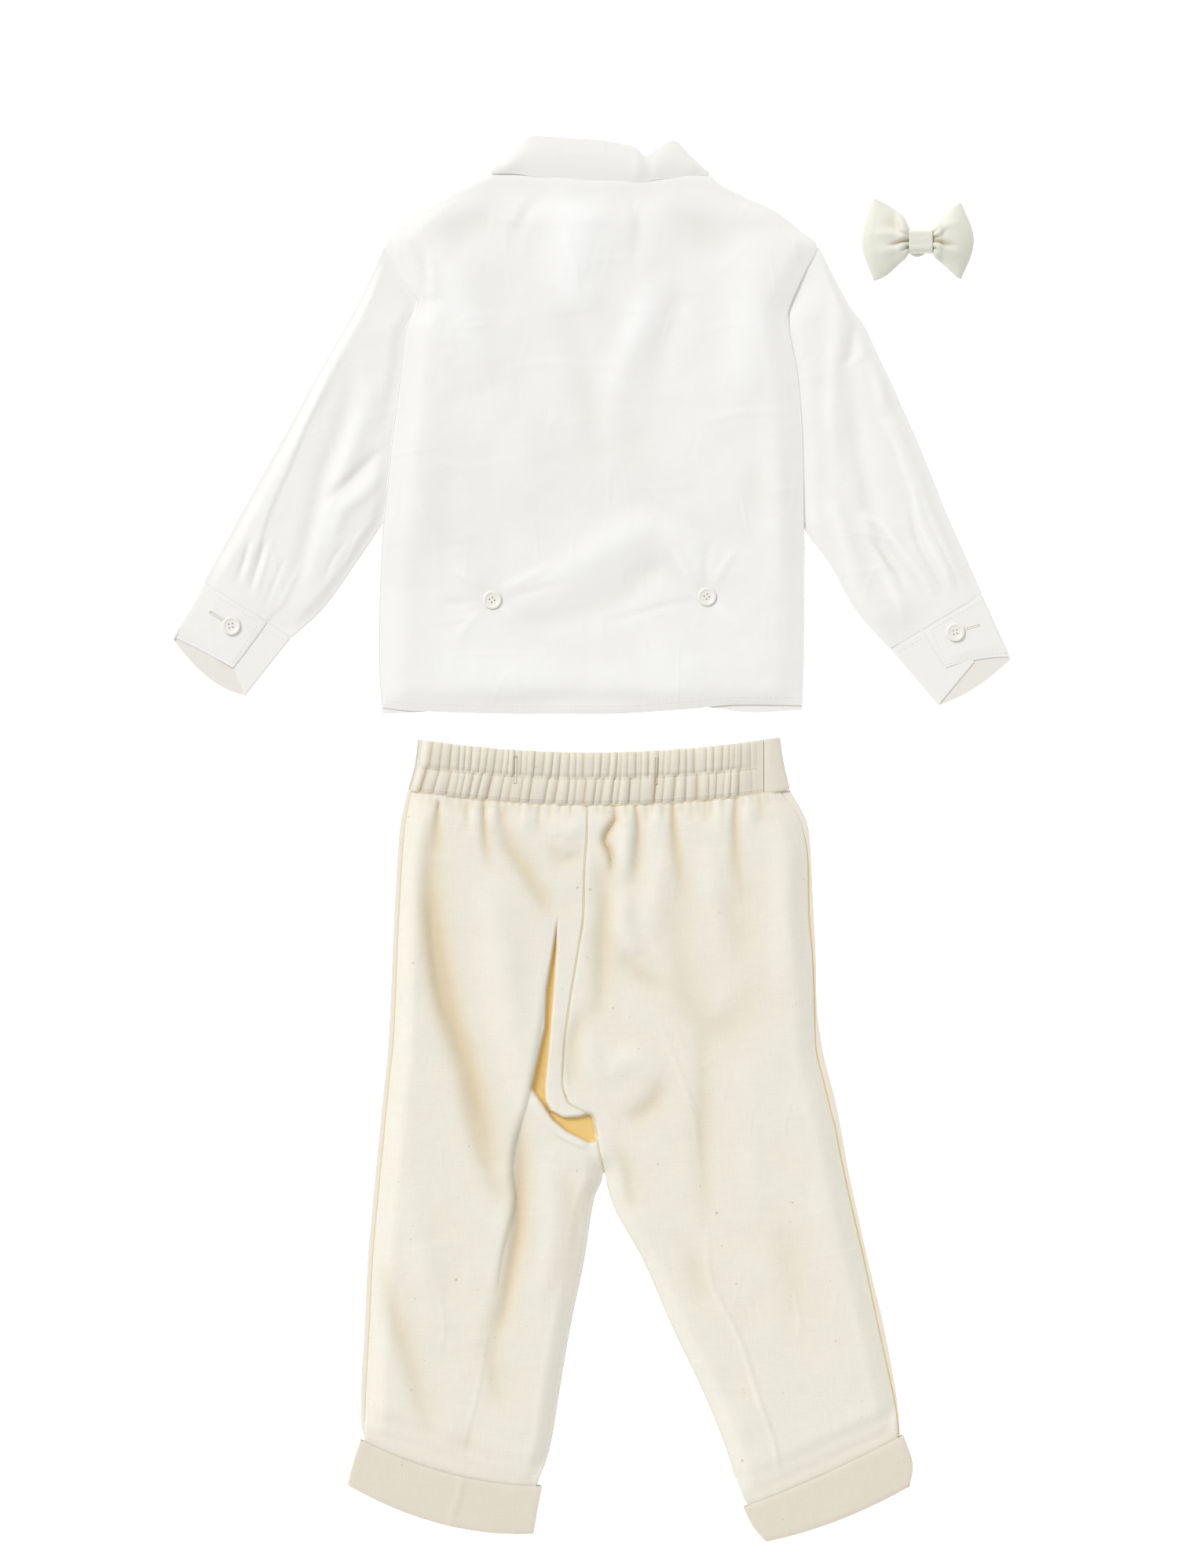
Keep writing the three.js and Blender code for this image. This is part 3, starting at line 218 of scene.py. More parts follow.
def away_from(path, x, y):
    """Distance to a path, positive on its left, and the share along it of the nearest place."""
    nearest = np.full(np.broadcast(x, y).shape, 1e9)
    side = np.ones_like(nearest)
    along = np.zeros_like(nearest)
    for i, ((ax, ay), (bx, by)) in enumerate(zip(path, path[1:])):
        dx, dy = bx - ax, by - ay
        t = np.clip(((x - ax) * dx + (y - ay) * dy) / (dx * dx + dy * dy), 0, 1)
        gap = np.hypot(x - ax - t * dx, y - ay - t * dy)
        closer = gap < nearest
        nearest = np.where(closer, gap, nearest)
        side = np.where(closer, np.sign(dx * (y - ay) - dy * (x - ax)), side)
        along = np.where(closer, (i + t) / (len(path) - 1), along)
    return nearest * side, along


def fold_height(folds, x, y):
    """Height of soft folds along their paths, each with a half width and a rise, negative for a trough."""
    height = np.zeros(np.broadcast(x, y).shape)
    for fold in folds:
        gap, along = away_from(rounded(fold["path"]), x, y)
        faded = 0.25 + 0.75 * np.sin(np.pi * np.clip(along, 0, 1)) ** 0.6
        height += fold["rise"] * faded * np.exp(-((gap / fold["width"]) ** 2))
    return height


def fanned_height(folds, x, y):
    """Height of folds that start narrow and die away as they widen."""
    height = np.zeros(np.broadcast(x, y).shape)
    for fold in folds:
        gap, along = away_from(rounded(fold["path"]), x, y)
        width = mix(fold["narrow"], fold["wide"], along)
        height += fold["rise"] * (1 - along) ** 0.8 * np.exp(-((gap / width) ** 2))
    return height


def step_height(steps, x, y):
    """Height of pressed edges: each rises sharply on the left of its path and dies away behind it."""
    height = np.zeros(np.broadcast(x, y).shape)
    for step in steps:
        gap, along = away_from(rounded(step["path"]), x, y)
        ends = ease(0, 0.12, along) * ease(1, 0.88, along)
        height += step["rise"] * ends * ease(-1.3, 1.3, gap) * np.exp(-np.maximum(gap, 0) / step["reach"])
    return height


def uneven(x, y, size, rise):
    """Gentle unevenness of cloth that isn't ironed quite flat."""
    places = zip((x / size).ravel().tolist(), (y / size).ravel().tolist())
    return rise * np.array([random_field.noise((a, b, size)) for a, b in places]).reshape(x.shape)


def troughs(folds, wider):
    """The troughs among a table of folds, each made wider, for the painted shade round them."""
    found = []
    for fold in folds:
        if fold["rise"] < 0:
            widths = {name: fold[name] * wider for name in ("width", "narrow", "wide") if name in fold}
            found.append({**fold, **widths})
    return found


def smoothed(height, reach):
    """A grid of heights with each one the mean of those round it, within a reach in cells."""
    weights = np.exp(-(np.arange(-2 * reach, 2 * reach + 1) / reach) ** 2)
    weights /= weights.sum()
    for axis in (0, 1):
        edged = np.pad(height, [(2 * reach, 2 * reach) if axis == a else (0, 0) for a in (0, 1)], "edge")
        height = np.apply_along_axis(np.convolve, axis, edged, weights, "valid")
    return height


def hollow(height, reach, depth):
    """How far a grid of heights lies below the mean round it, as a share of a depth, negative on ridges."""
    return (smoothed(height, reach) - smoothed(height, 1)) / depth


# Meshes and shells

cloth = []
ADDED = "no node"


def add_mesh(name, points, faces, look):
    """A piece of the object from points in millimetres; its look is a material and a tone of painted shade."""
    mesh = bpy.data.meshes.new(name)
    above_floor = np.maximum(points, [-np.inf, -np.inf, 0])
    mesh.from_pydata(((above_floor - SET_MIDDLE) * MM).tolist(), [], faces)
    mesh.polygons.foreach_set("use_smooth", [True] * len(mesh.polygons))
    mesh.set_sharp_from_angle(angle=np.radians(50))
    mesh.materials.append(look[0])
    piece = bpy.data.objects.new(name, mesh)
    bpy.context.scene.collection.objects.link(piece)
    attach(piece, "root")
    return piece


def shell_faces(rows, columns, closed):
    """Faces of two grids of points joined into one closed wall."""
    index = np.arange(rows * columns).reshape(rows, columns)
    if closed:
        index = np.hstack([index, index[:, :1]])
    a, b, c, d = index[:-1, :-1], index[1:, :-1], index[1:, 1:], index[:-1, 1:]
    over = np.stack([a, b, c, d], -1).reshape(-1, 4)
    other = rows * columns
    under = over[:, ::-1] + other
    rims = [
        np.stack([index[0, :-1], index[0, 1:], index[0, 1:] + other, index[0, :-1] + other], -1),
        np.stack([index[-1, 1:], index[-1, :-1], index[-1, :-1] + other, index[-1, 1:] + other], -1),
    ]
    if not closed:
        rims += [
            np.stack([index[1:, 0], index[:-1, 0], index[:-1, 0] + other, index[1:, 0] + other], -1),
            np.stack([index[:-1, -1], index[1:, -1], index[1:, -1] + other, index[:-1, -1] + other], -1),
        ]
    return np.vstack([over, under, *rims]).tolist()


def shell(name, grid, wall, look, node=None, closed=False, depth=None, rim=RIM_SHARE):
    """A thin wall of cloth on a grid of points, rows down and columns across, moved out along its normal."""
    along = np.gradient(grid, axis=0)
    if closed:
        across = np.roll(grid, -1, axis=1) - np.roll(grid, 1, axis=1)
    else:
        across = np.gradient(grid, axis=1)
    normal = np.cross(along, across)
    normal /= np.maximum(np.linalg.norm(normal, axis=2, keepdims=True), 1e-9)
    rows, columns = grid.shape[:2]
    full = np.ones((rows, columns, 1))
    full[0], full[-1], sides = rim if isinstance(rim, tuple) else (rim, rim, rim)
    if not closed:
        full[:, [0, -1]] = sides
    points = np.vstack([(grid + normal * wall * full).reshape(-1, 3), grid.reshape(-1, 3)])
    faces = shell_faces(rows, columns, closed)
    piece = add_mesh(name, points, faces, look)
    # The depth attribute carries each point's tone of painted shade and painted highlight for the material
    tone = np.full((rows, columns), look[2]) if depth is None else np.broadcast_to(depth, (rows, columns))
    values = np.tile(np.clip(tone, 0, 1).ravel(), 2)
    attribute = piece.data.attributes.new("depth", "FLOAT", "POINT")
    attribute.data.foreach_set("value", values.astype(np.float32))
    if node != ADDED:
        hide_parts(node or name)
    cloth.append((points, faces))
    return piece


def panel(name, down, across, place, height, wall, look, node=None, depth=None):
    """A panel on shares down and across, its under side at a height."""
    x, y = place(down[:, None], across[None, :])
    grid = np.stack([x, y, height(x, y)], -1)
    tone = None if depth is None else depth(x, y)
    return shell(name, grid, wall, look, node, depth=tone)


def pressed_tube(name, down, place, wall, inside, height, look, depth=None):
    """A pressed tube of cloth: its lower face flat, its top an inside height above it and raised by folds."""
    down = down[:, None]
    ax, ay = place(down, 0)
    bx, by = place(down, 1)
    inset = wall / np.hypot(bx - ax, by - ay)
    turn = np.linspace(0, np.pi, 9)[1:-1]
    across_top = 0.01 + 0.98 * np.linspace(0, 1, 60)
    across_bottom = 0.99 - 0.98 * np.linspace(0, 1, 16)

    def spread(across):
        return place(down, mix(inset, 1 - inset, across))

    x, y = spread(across_top)
    lift = height(x, y, down, across_top)
    upper = np.stack([x, y, wall + inside + lift], -1)
    low_x, low_y = spread(across_bottom)
    lower = np.stack([low_x, low_y, np.full(low_x.shape, wall)], -1)
    sides = []
    for edge, first, last in ((1, upper[:, -1], lower[:, 0]), (0, lower[:, -1], upper[:, 0])):
        outward = np.sin(turn) * (0.45 if edge else -0.45) * inset
        round_x, round_y = spread(edge + outward)
        z = mix(first[:, 2:], last[:, 2:], (1 - np.cos(turn)) / 2)
        sides.append(np.stack([round_x, round_y, z], -1))
    grid = np.concatenate([upper, sides[0], lower, sides[1]], axis=1)
    tone = np.full(grid.shape[:2], look[2])
    if depth is not None:
        tone[:, : x.shape[1]] = depth(x, y)
    return shell(name, grid, wall, look, closed=True, depth=tone, rim=0.85)


def edge_roll(points, low, high, wall, side):
    """Cloth that rolls over an edge from the lower layer to the upper one."""
    tangent = np.gradient(points, axis=0)
    outward = np.stack([-tangent[:, 1], tangent[:, 0]], -1) * side
    outward /= np.linalg.norm(outward, axis=1, keepdims=True)
    angle = np.linspace(-np.pi / 2, np.pi / 2, 9)
    radius = (high - low) / 2
    out = radius[:, None] * np.cos(angle) * 0.5 - wall
    z = ((high + low) / 2)[:, None] + (radius[:, None] - wall) * np.sin(angle)
    flat = points[:, None, :] + outward[:, None, :] * out[..., None]
    grid = np.concatenate([flat, z[..., None]], -1)
    if side > 0:
        grid = grid[:, ::-1]
    return grid


# Materials

# Tones of painted shade and highlight: 0 is each cloth's lightest colour, a painted highlight where a tone
# falls below its cloth's base tone; the first tone below gives a fold's painted shade and 1 a gap's painted
# shade, then come the flat shirt's and trousers' base tones, a cuff's painted shade where its lower layer
# shows and the painted shade line along a cuff overlap's end
FOLD_SHADE_TONE = 0.7
SHIRT_SHADE_BASE = 0.3
TROUSER_SHADE_BASE = 0.1
CUFF_INSIDE_SHADE = 0.74
OVERLAP_EDGE_SHADE = 0.4

# Colours of each cloth: on its face, its painted shade in its folds and its painted shade in its gaps
WHITES = (0.852, 0.85, 0.838), (0.746, 0.734, 0.696), (0.74, 0.66, 0.5)
CREAM_FOLD_SHADE = (0.66, 0.56, 0.39)
CREAM_GAP_SHADE = (0.76, 0.54, 0.2)
CREAMS = (0.77, 0.745, 0.66), CREAM_FOLD_SHADE, CREAM_GAP_SHADE
TURN_UP_CREAMS = (0.7, 0.655, 0.56), CREAM_FOLD_SHADE, CREAM_GAP_SHADE
BAND_CREAMS = (0.725, 0.697, 0.607), (0.5, 0.4, 0.26), CREAM_GAP_SHADE
IVORIES = (0.7, 0.697, 0.612), (0.62, 0.56, 0.41), (0.6, 0.5, 0.32)
FLECK = (0.3, 0.22, 0.13)

# Poplin, cotton-linen, crepe and sewing thread: their threads' pitch in metres, then how strong each trait is
POPLIN, COTTON_LINEN, CREPE, TWISTED = table("pitch slub speck rough sheen crease", [
    (0.0004, 0.025, 0, 0.7, 0.15, 1.8),
    (0.0006, 0.11, 0.4, 0.85, 0.1, 1.2),
    (0.0003, 0.05, 0, 0.5, 0.3, 0),
    (0.0002, 0, 0, 0.6, 0.2, 0),
])


def node_tree(name):
    """A new material with its nodes and links."""
    material = bpy.data.materials.new(name)
    material.use_nodes = True
    return material, material.node_tree.nodes, material.node_tree.links


def mixed(nodes, links, factor, a, b, blend="MIX"):
    """A colour mix, its inputs colours or sockets."""
    node = nodes.new("ShaderNodeMix")
    node.data_type = "RGBA"
    node.blend_type = blend
    for socket, value in ((node.inputs[0], factor), (node.inputs[6], a), (node.inputs[7], b)):
        if isinstance(value, (int, float)):
            socket.default_value = value
        elif isinstance(value, tuple):
            socket.default_value = (*value, 1)
        else:
            links.new(value, socket)
    return node.outputs[2]


def worked(nodes, links, operation, a, b=0.0, clamp=False):
    """The result of a sum on numbers or sockets."""
    node = nodes.new("ShaderNodeMath")
    node.operation = operation
    node.use_clamp = clamp
    for socket, value in ((node.inputs[0], a), (node.inputs[1], b)):
        if isinstance(value, (int, float)):
            socket.default_value = value
        else:
            links.new(value, socket)
    return node.outputs[0]


def noise(nodes, links, vector, scale, detail=3.0, stretch=(1, 1, 1)):
    """Noise on a stretched coordinate."""
    mapping = nodes.new("ShaderNodeMapping")
    mapping.inputs["Scale"].default_value = stretch
    links.new(vector, mapping.inputs["Vector"])
    node = nodes.new("ShaderNodeTexNoise")
    node.inputs["Scale"].default_value = scale
    node.inputs["Detail"].default_value = detail
    links.new(mapping.outputs[0], node.inputs["Vector"])
    return node.outputs["Fac"]


def bands(nodes, links, vector, direction, pitch):
    """Soft bands a pitch apart, in metres."""
    node = nodes.new("ShaderNodeTexWave")
    node.bands_direction = direction
    node.inputs["Scale"].default_value = np.pi / 10 / pitch
    node.inputs["Distortion"].default_value = 1.2
    node.inputs["Detail"].default_value = 1.0
    node.inputs["Detail Scale"].default_value = 0.6
    links.new(vector, node.inputs["Vector"])
    return node.outputs["Fac"]


def woven(name, cloth_kind, turn, colours):
    """Plain-woven cloth: threads at a turn in degrees, slubs, painted shade in its folds and gaps from its
    tone, creases and a sheen.
    """
    material, nodes, links = node_tree(name)
    shader = nodes["Principled BSDF"]
    colour, fold, gap_shade = colours
    place = nodes.new("ShaderNodeTexCoord")
    turned = nodes.new("ShaderNodeMapping")
    turned.inputs["Rotation"].default_value = (0, 0, np.radians(turn))
    links.new(place.outputs["Object"], turned.inputs["Vector"])
    vector = turned.outputs[0]
    warp = bands(nodes, links, vector, "X", cloth_kind["pitch"])
    weft = bands(nodes, links, vector, "Y", cloth_kind["pitch"])
    weave = worked(nodes, links, "MULTIPLY", warp, weft)
    slub_weft = noise(nodes, links, vector, 1, 4, (110, 2100, 110))
    slub_warp = noise(nodes, links, vector, 1, 4, (2100, 110, 110))
    slubs = worked(nodes, links, "ADD", slub_weft, slub_warp)
    mottle = noise(nodes, links, vector, 34, 4)
    # Painted shade: the depth attribute's tone mixes the face colour towards the fold shade colour, then past
    # the fold tone towards the gap shade colour
    depth = nodes.new("ShaderNodeAttribute")
    depth.attribute_name = "depth"
    shallow = worked(nodes, links, "DIVIDE", depth.outputs["Fac"], FOLD_SHADE_TONE, clamp=True)
    past = worked(nodes, links, "SUBTRACT", depth.outputs["Fac"], FOLD_SHADE_TONE)
    deep = worked(nodes, links, "DIVIDE", past, 1 - FOLD_SHADE_TONE, clamp=True)
    lighter = tuple(min(1.0, c * 1.01) for c in colour)
    darker = tuple(c * 0.97 for c in colour)
    tint = mixed(nodes, links, mottle, darker, lighter)
    base = mixed(nodes, links, deep, mixed(nodes, links, shallow, tint, fold), gap_shade)
    thread = worked(nodes, links, "SUBTRACT", slubs, 1.0)
    thread = worked(nodes, links, "MULTIPLY", thread, cloth_kind["slub"])
    thread = worked(nodes, links, "ADD", thread, 1.0)
    base = mixed(nodes, links, 1.0, base, grey(nodes, links, thread), "MULTIPLY")
    if cloth_kind["speck"]:
        spots = noise(nodes, links, vector, 260, 2)
        spots = worked(nodes, links, "SUBTRACT", spots, 0.75)
        spots = worked(nodes, links, "MULTIPLY", spots, 30, clamp=True)
        spots = worked(nodes, links, "MULTIPLY", spots, cloth_kind["speck"])
        base = mixed(nodes, links, spots, base, FLECK)
    links.new(base, shader.inputs["Base Color"])
    shader.inputs["Roughness"].default_value = cloth_kind["rough"]
    shader.inputs["Sheen Weight"].default_value = cloth_kind["sheen"]
    shader.inputs["Sheen Roughness"].default_value = 0.4
    shader.inputs["Specular IOR Level"].default_value = 0.25
    relief = worked(nodes, links, "MULTIPLY", weave, 0.35)
    relief = worked(nodes, links, "ADD", relief, worked(nodes, links, "MULTIPLY", slubs, 0.5))
    crumple = noise(nodes, links, vector, 110, 3)
    relief = worked(nodes, links, "ADD", relief, worked(nodes, links, "MULTIPLY", crumple, 1.6))
    if cloth_kind["crease"]:
        creases = fine_creases(nodes, links, place.outputs["Object"], cloth_kind["crease"])
        relief = worked(nodes, links, "ADD", relief, creases)
    bump = nodes.new("ShaderNodeBump")
    bump.inputs["Strength"].default_value = 0.45
    bump.inputs["Distance"].default_value = 0.00018
    links.new(relief, bump.inputs["Height"])
    links.new(bump.outputs[0], shader.inputs["Normal"])
    return material


def fine_creases(nodes, links, vector, rise):
    """Thin broken creases in two directions, where stretched smooth noise crosses its middle value."""
    total = 0.0
    for stretch, thin, patch in (((7, 30, 7), 20, 19), ((46, 13, 13), 15, 27)):
        field = noise(nodes, links, vector, 1, 0, stretch)
        away = worked(nodes, links, "ABSOLUTE", worked(nodes, links, "SUBTRACT", field, 0.5))
        spread = worked(nodes, links, "MULTIPLY", away, thin)
        ridge = worked(nodes, links, "SUBTRACT", 1.0, spread, clamp=True)
        shown = noise(nodes, links, vector, patch, 1, (1, 1.3, 1))
        shown = worked(nodes, links, "MULTIPLY", worked(nodes, links, "SUBTRACT", shown, 0.5), 6, clamp=True)
        ridge = worked(nodes, links, "MULTIPLY", ridge, shown)
        total = worked(nodes, links, "ADD", total, ridge)
    return worked(nodes, links, "MULTIPLY", total, rise)


def grey(nodes, links, value):
    """A colour with the same value in red, green and blue."""
    node = nodes.new("ShaderNodeCombineColor")
    for socket in node.inputs:
        links.new(value, socket)
    return node.outputs[0]


def polished(name, colour, rough, coat, cloud):
    """Polished plastic with a faint cloudiness."""
    material, nodes, links = node_tree(name)
    shader = nodes["Principled BSDF"]
    place = nodes.new("ShaderNodeTexCoord")
    mottle = noise(nodes, links, place.outputs["Object"], 420, 3, (1, 2.2, 1))
    darker = tuple(c * cloud for c in colour)
    links.new(mixed(nodes, links, mottle, darker, colour), shader.inputs["Base Color"])
    fine = noise(nodes, links, place.outputs["Object"], 2600, 2)
    spread = worked(nodes, links, "MULTIPLY", fine, 0.12)
    links.new(worked(nodes, links, "ADD", spread, rough), shader.inputs["Roughness"])
    shader.inputs["Coat Weight"].default_value = coat
    shader.inputs["Coat Roughness"].default_value = 0.06
    return material


def shirt_cloth(part, turn):
    """White poplin for one part of the shirt: its material, slot and base tone of painted shade."""
    material = woven(f"poplin_{part}", POPLIN, turn, WHITES)
    return material, "shirt_poplin", SHIRT_SHADE_BASE


def trouser_cloth(part, turn, colours=CREAMS):
    """Cream cloth for one part of the trousers, as for the shirt."""
    material = woven(f"cotton_linen_{part}", COTTON_LINEN, turn, colours)
    return material, "trouser_cloth", TROUSER_SHADE_BASE


def sewing_thread(name, colour, cloth_colours, slot):
    """Thread of a colour, with the painted shade colours of the cloth that it is sewn to."""
    return woven(name, TWISTED, 30, (colour, *cloth_colours[1:])), slot, 0


SHIRT = shirt_cloth("body", 0)
SHIRT_LEFT = shirt_cloth("left_sleeve", 28)
SHIRT_RIGHT = shirt_cloth("right_sleeve", -24)
TROUSERS = trouser_cloth("legs", 0)
TROUSERS_LEFT = trouser_cloth("left_leg", 5)
TROUSERS_RIGHT = trouser_cloth("right_leg", -9)
TURN_UPS = trouser_cloth("turn_ups", 0, TURN_UP_CREAMS)
BAND = trouser_cloth("waistband", 0, BAND_CREAMS)
BOW_CLOTH = woven("bow_crepe", CREPE, 20, IVORIES), "bow_crepe", 0
THREAD = sewing_thread("white_thread", (0.78, 0.77, 0.72), WHITES, "shirt_poplin")
HOLE_THREAD = sewing_thread("hole_thread", (0.7, 0.66, 0.56), WHITES, "shirt_poplin")
BAND_THREAD = sewing_thread("cream_thread", (0.56, 0.48, 0.35), CREAMS, "trouser_cloth")
PEARL = polished("pearl_button", (0.81, 0.795, 0.735), 0.3, 0.35, 0.93), "button_pearl"
CLEAR = polished("clip_plastic", (0.85, 0.85, 0.82), 0.12, 0.8, 0.9), "clip_plastic"


# Shirt

SHIRT_OUTLINE = table("y left right", [
    (421.5, -65.5, 76.5),
    (417, -74, 80.5),
    (406.5, -96, 101.5),
    (399.5, -109, 116),
    (385.5, -125.5, 134),
    (376.5, -131.5, 143.6),
    (360.5, -122, 136.4),
    (346.5, -113.5, 130),
    (340.5, -109.8, 127.4),
    (333, -113, 125),
    (324, -118, 125.5),
    (293.5, -121.5, 131),
    (255, -126.5, 134),
    (236, -128.5, 134.5),
    (188, -133, 135),
    (138, -135, 135.5),
    (108, -135, 135),
    (80.5, -133, 134),
])
SLEEVE_LEFT = table("leftX leftY rightX rightY", [
    (-132, 376, -110.4, 339.8),
    (-146, 344.5, -104, 313),
    (-162.5, 315, -106.5, 289.5),
    (-178, 288, -110.5, 257.5),
    (-191.5, 263, -117.5, 229.5),
    (-205.5, 238, -131.5, 202.5),
    (-221.5, 209, -149, 176),
    (-235.5, 183, -171.5, 145),
    (-246.5, 163, -190.5, 127.4),
])
SLEEVE_RIGHT = table("leftX leftY rightX rightY", [
    (128.2, 339.8, 144.4, 375.5),
    (120.5, 313, 165, 337),
    (119, 301, 172.5, 327),
    (118.5, 288, 180.5, 310.5),
    (122.5, 255.5, 193.5, 283),
    (127.5, 228, 205, 257),
    (134.5, 199, 215.5, 232),
    (151, 175, 225, 208),
    (168, 145, 236.5, 182),
    (190, 120, 248.5, 155),
])
COLLAR_BACK = table("x fold leaf seam", [
    (-62.8, 425.5, 422, 421.5),
    (-51, 435.5, 421.8, 421.5),
    (-36.5, 447, 420, 420.5),
    (-14.5, 445.5, 417, 419),
    (2.5, 444.5, 414.5, 417.5),
    (18.5, 442, 414.5, 417.5),
    (28, 439.5, 415.5, 417.5),
    (34.5, 434, 416.8, 418),
    (41, 438, 418, 418.5),
    (52.5, 444, 419.3, 420),
    (63, 434.5, 420.5, 421),
    (73.8, 424.5, 421, 421),
])
COLLAR_FRONT = table("fromMiddle fold leaf seam", [
    (1, 412, 400, 392),
    (14, 414, 381, 396),
    (30, 420, 393, 404),
    (50, 428, 411, 414),
    (67, 425, 421.8, 421.3),
])

# Broad soft folds of the shirt's back, then its creases: half width, height, and path by pixel
SHIRT_FOLDS = table("width rise path", [
    (17, 2.6, photo(735, 225, 733, 280, 728, 350, 735, 400)),
    (12, -1.8, photo(640, 250, 600, 290, 560, 330)),
    (12, -1.8, photo(850, 262, 890, 292, 930, 330)),
    (11, 1.2, photo(560, 300, 590, 380, 610, 470)),
    (12, 1.2, photo(960, 330, 950, 430, 946, 500)),
    (10, 1.7, photo(832, 368, 812, 420, 792, 470, 784, 510)),
    (9, -1.6, photo(724, 400, 738, 460, 752, 530, 758, 590)),
    (8, -1, photo(866, 372, 846, 440, 836, 500)),
    (22, 1.4, photo(620, 500, 650, 580, 660, 660)),
    (22, 1.4, photo(880, 520, 876, 600, 850, 650)),
    (12, 1.7, photo(650, 756, 700, 738, 751, 712, 800, 682, 830, 672, 858, 684, 884, 712)),
    (9, -1.5, photo(650, 800, 720, 784, 790, 756, 834, 724, 858, 730, 880, 750)),
    (9, 0.5, photo(545, 500, 536, 600, 532, 700)),
    (9, -0.4, photo(580, 560, 566, 640, 562, 710)),
    (8, 0.6, photo(985, 560, 990, 640, 992, 720)),
    (7, -0.5, photo(958, 570, 962, 640, 950, 700)),
    (14, 1, photo(560, 850, 680, 862, 800, 862, 940, 846)),
])
SHIRT_CREASES = table("width rise path", [
    (1.5, 0.4, photo(642, 470, 700, 462, 748, 466, 790, 462)),
    (1.5, 0.3, photo(752, 480, 790, 490, 800, 498)),
    (1.5, 0.4, photo(896, 540, 930, 528, 980, 524, 1018, 526)),
    (2.2, -0.7, photo(536, 322, 541, 352, 537, 392)),
    (1.6, 0.6, photo(548, 320, 552, 356, 548, 400)),
    (1.6, -0.5, photo(520, 306, 528, 316, 540, 322)),
    (1.4, 0.5, photo(556, 314, 562, 318, 570, 320)),
    (1.4, 0.4, photo(548, 372, 562, 376)),
    (1.6, 0.7, photo(640, 752, 668, 738, 700, 722)),
    (1.8, -0.6, photo(644, 764, 680, 752, 720, 742)),
    (1.5, 0.7, photo(612, 748, 596, 736, 580, 728)),
    (1.5, 0.6, photo(612, 780, 596, 796, 584, 812)),
    (1.6, 0.7, photo(642, 776, 660, 794, 684, 812)),
    (1.5, -0.6, photo(610, 764, 580, 768, 560, 766)),
    (1.6, 0.8, photo(888, 746, 874, 728, 860, 704)),
    (1.6, 0.8, photo(908, 744, 922, 722, 936, 700)),
    (1.6, 0.8, photo(914, 772, 932, 790, 950, 806)),
    (1.6, -0.6, photo(886, 764, 850, 770, 810, 782, 770, 792)),
    (1.5, -0.6, photo(898, 742, 898, 720, 904, 690)),
    (1.5, 0.5, photo(892, 782, 884, 800)),
    (1.2, 0.3, photo(574, 420, 600, 404, 632, 402)),
    (1.2, 0.3, photo(560, 458, 588, 446)),
    (1.2, 0.25, photo(556, 590, 600, 596, 640, 590)),
    (1.2, 0.25, photo(550, 690, 590, 684, 618, 672)),
    (1.2, 0.25, photo(560, 706, 600, 700)),
    (1.2, 0.3, photo(860, 394, 880, 404, 894, 424)),
    (1.2, 0.3, photo(880, 430, 920, 416, 960, 414)),
    (1.2, 0.25, photo(720, 300, 732, 340, 728, 380)),
    (1.2, -0.25, photo(760, 296, 752, 340, 740, 372)),
    (1.2, 0.25, photo(690, 280, 704, 312)),
    (1.2, 0.25, photo(700, 592, 730, 604, 752, 616)),
    (4, -0.9, photo(700, 240, 676, 262, 656, 300)),
    (4, -0.8, photo(800, 246, 812, 290, 806, 330)),
])
# Broad soft painted shade on the back by pixel, painted highlight where its tone is negative: how far each
# reaches, its tone and its middle
SHIRT_SHADES = table("reach shade middle", [
    (34, 0.15, photo(665, 600)),
    (34, 0.18, photo(812, 590)),
    (24, 0.14, photo(590, 680)),
    (15, 0.16, photo(964, 620)),
    (22, 0.05, photo(630, 300)),
    (18, 0.1, photo(905, 252)),
    (18, 0.1, photo(790, 470)),
    (30, -0.16, photo(742, 290)),
    (20, -0.12, photo(812, 410)),
    (24, -0.14, photo(560, 400)),
    (22, -0.12, photo(985, 420)),
    (34, -0.12, photo(600, 860)),
    (34, -0.12, photo(850, 870)),
])
BACK_BUTTONS = table("x y", [(-63, 151), (73.5, 153)])
BACK_HEM = table("x y", [
    (-133, 82.5), (-114, 80.5), (-40, 78.5), (7, 78.5), (60, 81.5), (95, 84.5), (134, 84),
])
FRONT_HEM = table("x y", [
    (-133, 78.5), (-114, 79.5), (-70, 82), (60, 84), (104, 79.5), (134, 81),
])

shirt_left = curve(SHIRT_OUTLINE, "y", "left")
shirt_right = curve(SHIRT_OUTLINE, "y", "right")
sleeve_inner_left = curve(SLEEVE_LEFT, "rightY", "rightX")
sleeve_inner_right = curve(SLEEVE_RIGHT, "leftY", "leftX")
front_leaf = curve(COLLAR_FRONT, "fromMiddle", "leaf")
front_seam = curve(COLLAR_FRONT, "fromMiddle", "seam")
back_seam = curve(COLLAR_BACK, "x", "seam")
back_hem = curve(BACK_HEM, "x", "y")
front_hem = curve(FRONT_HEM, "x", "y")
NECK_MIDDLE = (SHIRT_OUTLINE[0]["left"] + SHIRT_OUTLINE[0]["right"]) / 2

